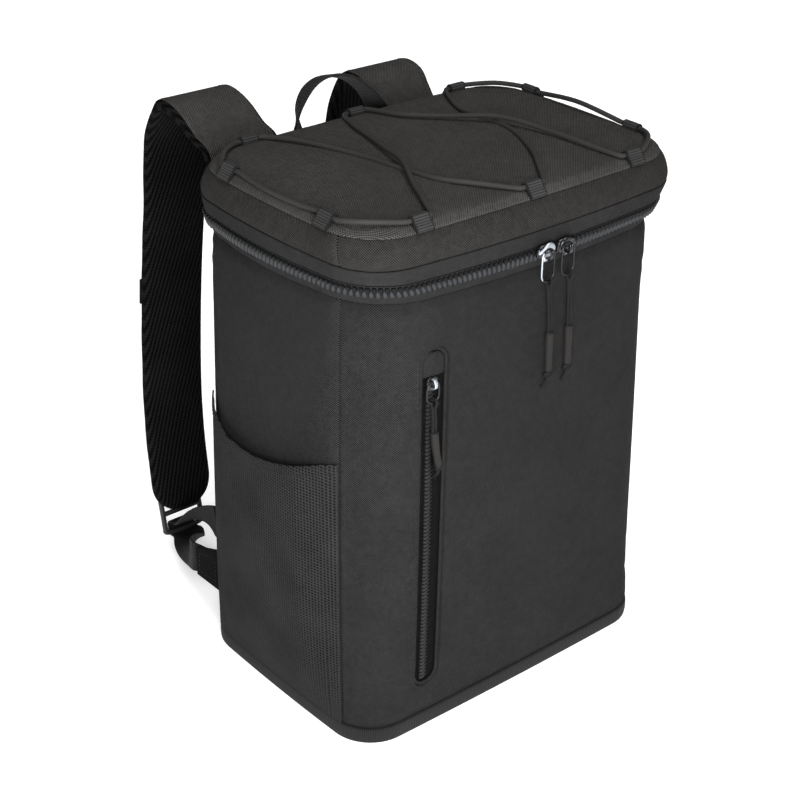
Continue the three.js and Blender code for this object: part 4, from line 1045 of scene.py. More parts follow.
# Each band's plan, its two seams' heights, how far it stands out, and how its edges roll in
BODY_BAND = (body_plan, BODY_LOW, BODY_HIGH, body_out, (1.3, 3.2))
BOXING_BAND = (lid_side_plan, LID_HEIGHT, LID_SEAM, boxing_out, (1.2, 3.0))
WALLS = [
    ("front_panel", "front_cloth", BODY_BAND, FRONT_LEFT_SEAM, FRONT_RIGHT_SEAM),
    ("side_panel_left", "left_cloth", BODY_BAND, LEFT_BACK, FRONT_LEFT_SEAM),
    ("side_panel_right", "right_cloth", BODY_BAND, FRONT_RIGHT_SEAM, RIGHT_BACK),
    ("back_panel", "back_cloth", BODY_BAND, RIGHT_BACK, LEFT_BACK + COUNT),
    ("lid_boxing_left", "boxing_left_cloth", BOXING_BAND, LEFT_BACK, LEFT_FRONT),
    ("lid_boxing_front", "boxing_front_cloth", BOXING_BAND, LEFT_FRONT, RIGHT_FRONT),
    ("lid_boxing_right", "boxing_right_cloth", BOXING_BAND, RIGHT_FRONT, RIGHT_BACK),
    ("lid_boxing_back", "boxing_back_cloth", BOXING_BAND, RIGHT_BACK, LEFT_BACK + COUNT),
]
walls = {node: Wall(name, *band, first, last) for node, name, band, first, last in WALLS}

CROWN_INSET = (0, 2.5, 7, 16, 36, 92.65)
CROWN_RISE = (1, 2.26, 3.16, 3.81, 4.35, 4.6)
LID_HALF_X, LID_HALF_Y = 139.95, 94.45


def crown_at(inset):
    return LID_SEAM + GAP + np.interp(inset, CROWN_INSET, CROWN_RISE)


def lid_rows(insets, shares, columns):
    """Rings of the lid's top: drawn in from the edge, and then shrinking to the middle."""
    i = even_indices(LID_TOP, 0, COUNT, np.linspace(0, 1, columns + 1)[:-1])[0]
    rows = []
    for inset in insets:
        x, y, _, _ = outline(LID_TOP, -inset, i)
        rise = through(CROWN_INSET, CROWN_RISE, np.full(len(x), float(inset)))
        rows.append(np.stack([x, y, LID_SEAM + GAP + rise], 1))
    last = rows[-1]
    for share in shares:
        ring = last * vec(share, share, 1)
        ring[:, 2] = mix(LID_SEAM + GAP + CROWN_RISE[-1], last[:, 2], share)
        rows.append(ring)
    return np.array(rows)


# Width of the lid's rim under the top, and how far the top's plug reaches down inside it
LID_RIM = 6.3
LID_PLUG = 8


def add_lid_top(move):
    insets = np.concatenate([[0, 0.5, 1.1, 1.9, 2.8, 4, 5.5, 7.5], np.arange(9.5, 34, 2.2)])
    shares = np.linspace(1, 0, 34)[1:-1]
    rows = lid_rows(insets, shares, LID_COLUMNS)
    for _ in range(6):
        rows += 0.25 * (np.roll(rows, 1, 1) + np.roll(rows, -1, 1) - 2 * rows)
    coarse_at = lid_coarse_at(insets, shares)
    across = np.linspace(0, 1, rows.shape[1] + 1)[:-1]
    ring = np.concatenate([move, move[:, :1]], 1)
    soft = moved(ring, coarse_at, across)
    edge = step(np.concatenate([insets, np.full(len(shares), 40)]), 0, 6)
    rows = rows + soft * edge[:, None, None]
    rows[0] -= vec(0, 0, 0.9)
    rows[1] -= vec(0, 0, 0.35)
    low = LID_SEAM + GAP
    under = [rows[0] * vec(1, 1, 0) + vec(0, 0, low)]
    x, y, _, _ = outline(LID_TOP, -LID_RIM, even_indices(LID_TOP, 0, COUNT, across)[0])
    under += [np.stack([x, y, np.full(len(x), z)], 1) for z in (low, low - LID_PLUG)]
    shape = Shape()
    stacked(shape, np.concatenate([np.array(under[::-1]), rows]), [0, 1], True)
    make("lid_cloth", shape, ["lid"], ["lid_top_panel"])


COARSE_INSETS = [0, 5, 10, 16, 22, 28, 33.6]
COARSE_SHARES = list(np.linspace(1, 0, 14)[1:-1])


def lid_coarse_at(insets, shares):
    """Places of the lid's fine rings among the coarse ones."""
    count = len(COARSE_INSETS) + len(COARSE_SHARES)
    first = np.interp(insets, COARSE_INSETS, np.arange(len(COARSE_INSETS)))
    knots = [1.0] + COARSE_SHARES
    second = np.interp(-np.array(shares), -np.array(knots), np.arange(len(knots)) + len(COARSE_INSETS) - 1)
    return np.concatenate([first, second]) / (count - 1)


# Spacing of the simulated grids and of the finished ones
BODY_SIM_GAP, LID_SIM_GAP, LID_SIM_COLUMNS = 6.0, 4.0, 150
BODY_GAP, BOXING_GAP, LID_COLUMNS = 2.4, 1.8, 380

skins = {}
for name, wall in walls.items():
    skins[name] = (wall.coarse(LID_SIM_GAP if name.startswith("lid") else BODY_SIM_GAP), False)
skins["lid_top_panel"] = (lid_rows(COARSE_INSETS, COARSE_SHARES, LID_SIM_COLUMNS), True)
moves = settled(skins)


def slot_outline(half, bottom, top, count=20):
    """A round-ended upright slot, counterclockwise seen from the front, as x from its middle and height."""
    angles = np.linspace(0, PI, count)
    upper = [(half * math.cos(a), top - half + half * math.sin(a)) for a in angles]
    lower = [(-half * math.cos(a), bottom + half - half * math.sin(a)) for a in angles]
    return np.array(upper + lower)


def densely(corners, gap):
    """The same closed outline with extra points on its long sides."""
    points = []
    for a, b in zip(corners, np.roll(corners, -1, 0)):
        parts = max(int(np.linalg.norm(b - a) / gap), 1)
        points += [mix(a, b, k / parts) for k in range(parts)]
    return np.array(points)


SLOT_HALF = 11.6
SLOT_BORDER = 2.9
FRONT_ZIP_X = -84.5
FRONT_ZIP_LOW, FRONT_ZIP_HIGH = 35.0, 295.0
GARAGE_LENGTH = 17.6
GARAGE_LOW = FRONT_ZIP_HIGH - SLOT_BORDER - GARAGE_LENGTH
FRONT_TOOTH_PITCH = 2.9
FRONT_CHAIN_X = FRONT_ZIP_X - 2.1
FRONT_CHAIN_LOW = FRONT_ZIP_LOW + SLOT_BORDER + 3.2
FORWARD = vec(0, -1, 0)
# Distances from the bag's middle between which the slot's cutter reaches
CUTTER_NEAR, CUTTER_FAR = 70, 130


def slot_cutter():
    corners = slot_outline(SLOT_HALF, FRONT_ZIP_LOW, FRONT_ZIP_HIGH)
    shape = Shape()
    axes = (vec(FRONT_ZIP_X, 0, 0), vec(1, 0, 0), vec(0, 0, 1), FORWARD)
    plate(shape, corners, [(0, CUTTER_NEAR), (0, CUTTER_FAR)], axes)
    return shape


BODY_LOOKS = {"front_panel": ("front", slot_cutter()), "side_panel_left": ("side", None),
              "side_panel_right": ("side", None), "back_panel": ("side", None)}
for node, wall in walls.items():
    look, cutter = BODY_LOOKS.get(node, ("boxing", None))
    wall.build(look, node, moves[node], BOXING_GAP if node.startswith("lid") else BODY_GAP, cutter)
add_lid_top(moves["lid_top_panel"])


def add_band(name, plan_at, low, high, out_at, first, last, thickness, look, node,
             gap=1.5, roll=(0.6, 1.0)):
    """A plain strip of tape or binding round the bag."""
    tall = high - low
    whole = last - first >= COUNT
    s = stops(tall, gap, (0, 0.25, 0.6, 1.1))
    middle = plan_at((low + high) / 2)
    length = even_indices(middle, first, last, [0, 1])[1]
    t = np.linspace(0, 1, int(length / 3) + 1)
    i = even_indices(middle, first, last, t)[0]
    z = mix(low, high, s)[:, None]
    inward = rolled(np.minimum(s, 1 - s)[:, None] * tall, *roll)
    outer = wall_points(plan_at, z, out_at(z) - inward, i[None, :])[0]
    inner = wall_points(plan_at, z, out_at(z) - thickness, i[None, :])[0]
    uv = pairs(s[:, None] * tall, t[None, :] * length)
    shape = Shape()
    if whole:
        outer, inner = outer[:, :-1], inner[:, :-1]
    skin(shape, outer, inner, uv, wrap=whole)
    make(name, shape, [look], [node])


def binding_plan(_):
    """The binding stands upright, so its plan is the same at every height."""
    return BASE


def binding_out(z):
    return 0.4 * np.sin(PI * z / BINDING_HEIGHT)


def add_bands():
    add_band("base_tape", binding_plan, 0, BINDING_HEIGHT, binding_out, 0, COUNT, WALL, "binding",
             "base_binding", 1.2, (1.0, 1.4))
    for name, low, high, node in (("lower_tape", MOUTH_HEIGHT, CHAIN_LOW - GAP, "zip_tape_lower"),
                                  ("upper_tape", CHAIN_HIGH + GAP, LID_HEIGHT - GAP, "zip_tape_upper")):
        add_band(name, zip_plan, low, high, bulge, LEFT_BACK, RIGHT_BACK, 1.5, "tape", node)
    add_band("hinge_cloth", zip_plan, MOUTH_HEIGHT, LID_HEIGHT - GAP, bulge, RIGHT_BACK, LEFT_BACK + COUNT,
             2.5, "boxing", "lid_hinge", 2.0)


add_bands()


# Zips

def tooth(shape, frame, half, tall, thick, look):
    """One moulded tooth: square at its root on the tape and round where it meets the other side."""
    root = [(half * 0.8, -tall * 0.52), (half, -tall * 0.3), (half, 0)]
    head = [(half * math.cos(a), tall * 0.48 * math.sin(a)) for a in np.linspace(0, PI, 8)[1:-1]]
    corners = root + head + [(-half, 0), (-half, -tall * 0.3), (-half * 0.8, -tall * 0.52)]
    layers = [(0, 0), (0, thick * 0.6), (half * 0.16, thick * 0.85), (half * 0.45, thick)]
    plate(shape, corners, layers, frame, look)


TOOTH_PITCH = 3.9


def add_main_chain():
    """The strip of tape behind the teeth, and an upper and a lower row of teeth."""
    low, high = CHAIN_LOW, CHAIN_HIGH
    middle = (low + high) / 2
    length = even_indices(zip_plan(middle), LEFT_BACK, RIGHT_BACK, [0, 1])[1]
    count = int(length / TOOTH_PITCH) - 1
    shape = Shape()
    s = stops(high - low, 1.2, (0, 0.3, 0.8))
    t = np.linspace(0, 1, int(length / 3) + 1)
    i = even_indices(zip_plan(middle), LEFT_BACK, RIGHT_BACK, t)[0]
    z = mix(low, high, s)[:, None]
    outer = wall_points(zip_plan, z, bulge(z) - 0.1, i[None, :])[0]
    inner = wall_points(zip_plan, z, bulge(z) - 1.6, i[None, :])[0]
    skin(shape, outer, inner, pairs(s[:, None] * (high - low), t[None, :] * length))
    # The lower row takes the lighter copy of the plastic as painted light, the upper row the darker copy as
    # painted shade
    for row, (tilt, shift, look) in enumerate(((1, 0.0, 1), (-1, 0.5, 2))):
        at = (np.arange(count) + 0.5 + shift) * TOOTH_PITCH / length
        i = even_indices(zip_plan(middle), LEFT_BACK, RIGHT_BACK, at)[0]
        centre, normal = wall_points(zip_plan, np.full(count, middle), bulge(middle) - 0.3, i)
        above = wall_points(zip_plan, np.full(count, middle + 2), bulge(middle) - 0.3, i)[0]
        up = unit(above - centre)
        side = unit(np.cross(up, normal))
        out = np.cross(side, up)
        for c, u, a, o in zip(centre, up, side, out):
            axes = (c - u * 1.15 * tilt, a * tilt, u * tilt, o)
            tooth(shape, axes, 1.42, 5.6, 2.1 if row == 0 else 1.9, look)
    make("main_zip_teeth", shape, ["tape", "teeth_painted_lit", "teeth_painted_shade"],
         ["zip_chain"])


add_main_chain()


def shield(width, height):
    """Outline of a slider's plate: wide at one end and cut back at the other."""
    w, h = width / 2, height / 2
    points = [(-w, -h * 0.55), (-w * 0.4, -h), (w * 0.7, -h * 0.9), (w, -h * 0.5),
              (w, h * 0.5), (w * 0.7, h * 0.9), (-w * 0.4, h), (-w, h * 0.55)]
    loop = spline([vec(x, y, 0) for x, y in points], True, 4)
    return loop[:, :2]


# The slider's raised cap: low at one end, high and rounded at the other
CAP_OUTLINE = [(-7.4, 0.2), (5.6, 0.2), (6.6, 1.2), (6.2, 3.2), (4.6, 5.4), (2.4, 6.6), (-0.6, 6.4),
               (-2.6, 4.6), (-4.6, 2.6), (-7.4, 1.4)]
# The bridge that holds the ring: height and outward distance
SLIDER_BRIDGE = [(3.4, 2.6), (3.0, 5.4), (0.6, 6.9), (-2.6, 6.6), (-3.8, 3.0)]
LID_OVERHANG = (LID["depth"] - MOUTH["depth"]) / 2 + LID["front_bow"] - MOUTH["front_bow"]
ZIP_LEAN = math.atan2(LID_OVERHANG, LID_HEIGHT - MOUTH_HEIGHT)


def add_slider(side, x, turn, look):
    """Slider of the main zip: two plates round the teeth, a raised cap, and a bar that holds the ring."""
    z = SLIDER_HEIGHT
    face = chain_front(x, z) + 0.6 + 3 * GAP
    lean_up = vec(0, -math.sin(ZIP_LEAN), math.cos(ZIP_LEAN))
    out = vec(0, -math.cos(ZIP_LEAN), -math.sin(ZIP_LEAN))
    axes = (vec(x, -face, z), vec(turn, 0, 0), lean_up, out)
    shape = Shape()
    plate(shape, shield(14, 10), [(0.6, -0.5), (0, 0), (0, 1.5), (0.7, 2.2)], axes)
    plate(shape, CAP_OUTLINE, [(0, 2.0), (0, 2.9), (0.5, 3.5), (1.3, 3.8)], axes, look=1, dome=0.2)
    bar = axes[0] - lean_up * 1.6 + out * 2.2
    pill = slot_outline(0.9, -4.2, 4.2, 8)[:, ::-1]
    plate(shape, pill, [(0, -0.3), (0, 0.9), (0.3, 1.3)], (bar, *axes[1:]), look=1)
    foot = axes[0] - lean_up * 4.8 + out * 1.6
    plate(shape, circle(2.4, 16), [(0.4, -0.4), (0, 0), (0, 0.9), (0.6, 1.5)], (foot, *axes[1:]), look=1)
    bridge = [axes[0] + lean_up * a + out * b for a, b in SLIDER_BRIDGE]
    sweep(shape, evenly(spline(bridge, per=8), 26), slab(2.6, 1.1, 0.5), across=vec(1, 0, 0))
    make("main_slider_" + side, shape, ["black_metal", look],
         ["zip_slider_" + side])


# The left slider's cap, bar and foot are bright silver as a painted reflection; the right slider, of the same
# black metal, keeps its own colour
add_slider("left", -2.0, 1, "silver_and_painted_glint")
add_slider("right", 15.5, -1, "black_metal")


FRONT_TAPE_HALF = 11.3
TAPE_BACK, TAPE_FACE, TAPE_RIM = -2.3, -1.6, 0.5


def add_front_tape():
    """The cloth behind the teeth: a round-ended sheet lying in the slot."""
    half, low, high = FRONT_TAPE_HALF, FRONT_ZIP_LOW + GAP, FRONT_ZIP_HIGH - GAP
    dense = densely(slot_outline(half, low, high, 24), 4)
    edge, middle = TAPE_FACE - TAPE_RIM * 0.4, TAPE_FACE
    lines = []
    levels = [(1, TAPE_BACK), (1, edge), (1 - TAPE_RIM / half, middle), (0.5, middle), (0.02, middle)]
    for shrink, out in levels:
        z = np.clip(dense[:, 1], low + half * (1 - shrink), high - half * (1 - shrink))
        lines.append(on_front(FRONT_ZIP_X + dense[:, 0] * shrink, z, out))
    shape = Shape()
    stacked(shape, np.array(lines), [0, 2], False)
    make("front_tape_cloth", shape, ["front_tape"], ["front_zip_tape"])


def add_front_welt():
    """The rolled edge all round the slot."""
    low, high = FRONT_ZIP_LOW, FRONT_ZIP_HIGH
    x, z = densely(slot_outline(10.0, low + 1.6, high - 1.6, 28), 3).T
    path = on_front(FRONT_ZIP_X + x, z, -0.35)
    towards = unit(np.stack([x, x * 0, z - np.clip(z, low + SLOT_HALF, high - SLOT_HALF)], 1))
    welt = Shape()
    sweep(welt, path, slab(2.7, 1.7, 0.8, 4), across=towards, closed=True, flat=True)
    make("front_welt_cloth", welt, ["front"], ["front_zip_welt"])


def add_front_chain():
    """The strip that carries the teeth, and two rows of teeth."""
    z = np.linspace(FRONT_CHAIN_LOW, GARAGE_LOW - GAP, 80)[:, None]
    across = vec(-3.2, -2.6, 0, 2.6, 3.2)[None, :]
    outer = on_front(FRONT_CHAIN_X + across, z, vec(-1.2, -0.6, -0.6, -0.6, -1.2)[None, :])
    inner = on_front(FRONT_CHAIN_X + across, z, -1.35)
    teeth = Shape()
    skin(teeth, outer, inner, pairs(across, z))
    for z in np.arange(FRONT_CHAIN_LOW + 1.5, GARAGE_LOW - 2, FRONT_TOOTH_PITCH):
        # The left row takes a lighter copy of the plastic as painted light, the right row the darker copy as
        # painted shade
        for side, shift, look in ((1, 0.0, 1), (-1, 0.5, 2)):
            centre = on_front(FRONT_CHAIN_X - side * 0.55, z + shift * FRONT_TOOTH_PITCH, -0.7)
            axes = (centre, vec(0, 0, -side), vec(side, 0, 0), FORWARD)
            tooth(teeth, axes, FRONT_TOOTH_PITCH * 0.37, 4.6, 1.3, look)
    make("front_zip_teeth", teeth, ["front_tape", "front_teeth_painted_lit", "teeth_painted_shade"],
         ["front_zip_chain"])


def add_garage():
    """The round-topped flap of cloth that the slider parks under."""
    top = FRONT_ZIP_HIGH - SLOT_BORDER - 0.6
    half = 8.1
    s = np.linspace(-1, 1, 21)
    arch = 1.0 * (1 - s ** 2) + 0.25 * np.sqrt(np.clip(1 - np.abs(s) ** 8, 0, 1))
    rows = []
    for share in np.concatenate([np.linspace(0, 0.6, 14), np.linspace(0.62, 0.985, 14)]):
        height = mix(GARAGE_LOW, top, share)
        into = max((height - top) / half + 1, 0)
        wide = half * math.sqrt(max(1 - into ** 2, 0.02))
        hem = 0.6 * (share < 0.02)
        rows.append(on_front(FRONT_ZIP_X + s * wide, height, arch - hem - 0.1))
    grid = np.array(rows)
    garage = Shape()
    skin(garage, grid, grid - FORWARD * 0.9, grid[..., [0, 2]])
    make("garage_cloth", garage, ["front"], ["front_zip_garage"])


def add_front_slider():
    middle = on_front(FRONT_CHAIN_X, GARAGE_LOW - GAP - 4.5, 1.1)
    plan = [(-3.4, -4.3), (3.4, -4.3), (4.2, -1), (3.6, 4.3), (-3.6, 4.3), (-4.2, -1)]
    loop = spline([vec(x, y, 0) for x, y in plan], True, 5)[:, :2]
    slider = Shape()
    plate(slider, loop, [(0.4, -0.9), (0, -0.5), (0, 0.6), (0.6, 1.15)],
          (middle, vec(1, 0, 0), vec(0, 0, 1), FORWARD))
    rise = [(3.6, 0.9), (3.2, 3.2), (1.0, 4.4), (-1.6, 4.0), (-2.8, 0.9)]
    bridge = [middle + vec(0, -out, up) for up, out in rise]
    sweep(slider, evenly(spline(bridge, per=8), 24), slab(2.4, 0.9, 0.4), across=vec(1, 0, 0), look=1)
    make("front_slider", slider, ["black_metal", "silver_and_painted_glint"], ["front_zip_slider"])


def add_slot_stitches():
    loop = slot_outline(SLOT_HALF + 1.3, FRONT_ZIP_LOW - 1.3, FRONT_ZIP_HIGH + 1.3, 40)
    path = on_front(FRONT_ZIP_X + loop[:, 0], loop[:, 1], 0.05)
    seam = Shape()
    stitch_line(seam, evenly(np.vstack([path, path[:1]]), gap=2.0), FORWARD)
    make("front_slot_stitches", seam, ["thread"])


for add_piece in (add_front_tape, add_front_welt, add_front_chain, add_garage, add_front_slider,
                  add_slot_stitches):
    add_piece()


# Side pockets

POCKET_BACK, POCKET_FRONT, POCKET_DIP = 208, 214, 20
POCKET_MIDDLE = 110.0
POCKET_PUFF, POCKET_THICK = 7, 1.2


def pocket_top(t):
    """Height of the pocket's hem, which dips most nearer the back."""
    return mix(POCKET_BACK, POCKET_FRONT, t) - POCKET_DIP * np.sin(PI * np.clip(t, 0, 1) ** 0.75)


def mirrored(points):
    return [[-x, y, z] for x, y, z in points]


def add_pocket(side):
    first, last = LEFT_BACK + 1, np.array(FRONT_LEFT_SEAM)
    shares = np.linspace(0, 1, 200)
    i, width = even_indices(body_plan(POCKET_MIDDLE), first, last.mean(), shares)
    t = stops(width, 2.0, (0, 0.4, 1.0, 1.8))
    s = np.concatenate([np.linspace(0, 0.965, 92), [0.972, 0.98, 0.988, 0.994, 1.0]])[:, None]
    across = np.interp(t, shares, (i - i[0]) / (i[-1] - i[0]))[None, :]
    low = BINDING_HEIGHT + 0.6
    z = mix(low, pocket_top(t)[None, :], s)
    end = mix(last[0], last[1], np.clip((z - BODY_LOW) / (BODY_HIGH - BODY_LOW), 0, 1))
    index = first + (end - first) * across
    edge = np.minimum(np.sin(PI * t) * 1.6, 1)[None, :]
    puff = through((0, 0.06, 0.2, 0.45, 0.75, 1), (0, 0.35, 0.75, 1, 1, 1), s) * edge
    grid, normal = wall_points(body_plan, z, body_out(z), index)
    creases = np.sin(t * 46 + 2.4 * s) * np.exp(-((t - 0.16) / 0.13) ** 2) * 0.55
    creases += 0.35 * np.sin(t * 21 + 5 * s + 1) * np.sin(PI * s) * np.exp(-((t - 0.6) / 0.3) ** 2)
    hem = 0.45 * step(s, 0.962, 0.97) * (1 - 0.6 * step(s, 0.99, 1))
    out = GAP + POCKET_PUFF * puff + creases * edge * step(s, 0.02, 0.3) + hem
    outer = grid + normal * (out + POCKET_THICK)[..., None]
    inner = grid + normal * out[..., None]
    uv = pairs(t[None, :] * width, z)
    shape = Shape()
    skin(shape, outer, inner, uv)
    seam = Shape()
    hem_row = len(s) - 6
    stitch_line(seam, outer[hem_row] + normal[hem_row] * 0.1, normal[hem_row], 2.0, 1.4, 0.24)
    if side == "right":
        shape.points = mirrored(shape.points)
        seam.points = mirrored(seam.points)
    piece = make("pocket_" + side, shape, ["knit"], ["side_pocket_" + side])
    make("pocket_hem_stitches_" + side, seam, ["dark_thread"])


add_pocket("left")
add_pocket("right")


# Handle, straps and their fittings

LID_BACK = 103.0
HANDLE_HALF, HANDLE_RISE = 38, 30.5
HANDLE_WIDTH, HANDLE_THICK, HANDLE_POINTS = 15, 2, 150
# A box with a cross in it: side of the strip and height
HANDLE_STITCHES = [(-1, 303.5), (1, 303.5), (1, 322), (-1, 322), (-1, 303.5), (1, 322), (1, 303.5), (-1, 322)]


def add_handle():
    """A strip of webbing whose legs lie flat on the back and whose arch turns edge-on over the lid."""
    stand = GAP + 1
    legs = [(301, back_face(301) + stand), (327, mix(back_face(327.0), LID_BACK, 0.4) + stand),
            (354, LID_BACK + stand)]
    arch = [(-1.01, -0.2), (-0.99, 0.36), (-0.79, 0.79), (-0.53, 0.98), (-0.21, 1),
            (0.05, 0.92), (0.26, 0.79), (0.58, 0.46), (0.82, 0.07), (0.97, -0.33)]
    points = [vec(-HANDLE_HALF, y, z) for z, y in legs]
    points += [vec(HANDLE_HALF * a, LID_BACK + stand, LID_SEAM + HANDLE_RISE * b) for a, b in arch]
    points += [vec(HANDLE_HALF, y, z) for z, y in legs[::-1]]
    path = evenly(spline(points, per=20), HANDLE_POINTS)
    t = np.linspace(0, 1, HANDLE_POINTS)
    angle = PI / 2 * step(np.sin(PI * t), 0.6, 1)
    sign = np.where(t < 0.5, 1, -1)
    side = np.stack([sign * np.cos(angle), 0.95 * np.sin(angle), -0.3 * np.sin(angle)], 1)
    shape = Shape()
    sweep(shape, path, slab(HANDLE_WIDTH, HANDLE_THICK, 0.8, 3, 6), across=side, flat=True)
    make("handle_webbing", shape, ["handle"], ["haul_handle"])
    seam = Shape()
    for x in (-HANDLE_HALF, HANDLE_HALF):
        box = np.array([vec(x + a * 5.2, back_face(b) + stand + 1.05, b) for a, b in HANDLE_STITCHES])
        stitch_line(seam, evenly(box, gap=0.8), vec(0, 1, 0))
    make("handle_stitches", seam, ["thread"])


add_handle()

STRAP_HANG = [(0.903, 0.69), (0.97, 0.495), (1, 0.285), (0.98, 0.164), (0.93, 0.06), (0.885, 0)]
STRAPS = {
    "left": {"middle": 82, "rise": 13.3, "arch": [
        (0, 0.885), (0.007, 0.92), (0.042, 0.946), (0.185, 0.961), (0.323, 0.984), (0.442, 0.997), (0.536, 1),
        (0.6, 0.996), (0.65, 0.978), (0.727, 0.941), (0.776, 0.908)]},
    "right": {"middle": 76, "rise": 5.3, "arch": [
        (0, 0.836), (0.032, 0.88), (0.101, 0.91), (0.183, 0.935), (0.272, 0.967), (0.343, 0.993), (0.417, 1),
        (0.521, 0.997), (0.59, 0.978), (0.672, 0.935), (0.726, 0.896)]},
}


LEFTWARD = vec(-1, 0, 0)
PAD_POINTS = 361
# Shares of the pad's length where its end starts to round off and to thin out
PAD_ROUNDED, PAD_THINNED = 0.95, 0.985
PAD_STITCH_LIFT = 0.05
PAD_BOX = [(0.915, -15), (0.915, 15), (0.955, 15), (0.955, -15), (0.915, -15)]
KEEPER_AT, KEEPER_HALF, KEEPER_THICK = 0.62, 10, 1.6
ANCHOR_HEIGHT = 52.0
TAB_LENGTH, TAB_THICK = 22, 2
TAB_STITCHES = [(3, -11), (19, -8), (19, 8), (3, 11), (3, -11)]
BUCKLE_FRAME = [(-17, 2.0), (17, 2.0), (17.2, 5), (17.2, 17), (17.2, 29), (17, 32),
                (-17, 32), (-17.2, 29), (-17.2, 17), (-17.2, 5)]
BELT_WIDTH, BELT_THICK = 25, 1.7


def strap_path(strap):
    """The middle of a pad, from its seam on the back over the arch and down to its end."""
    stand = GAP + 2.5 + 0.4
    points = [vec(-strap["middle"], back_face(z) + stand, z) for z in (285, 306, 326.7)]
    for out, up in strap["arch"] + STRAP_HANG:
        points.append(vec(-strap["middle"] - 4 * (1 - up), LID_BACK + stand + out * 101.2,
                          mix(40, LID_SEAM + strap["rise"], up)))
    return evenly(spline(points, per=24), PAD_POINTS)


def pad_section(width, thickness):
    """The pad's section: flat faces and well rounded sides."""
    share = np.linspace(-1, 1, 25)
    half = width / 2
    rounded = 5
    inset = np.clip((np.abs(share) * half - (half - rounded)) / rounded, 0, 1)
    rise = thickness / 2 * np.sqrt(np.clip(1 - inset ** 2.6 * 0.8, 0, 1))
    top = np.stack([share * half, rise], 1)
    return np.vstack([top[::-1], np.stack([share * half, -rise], 1)])


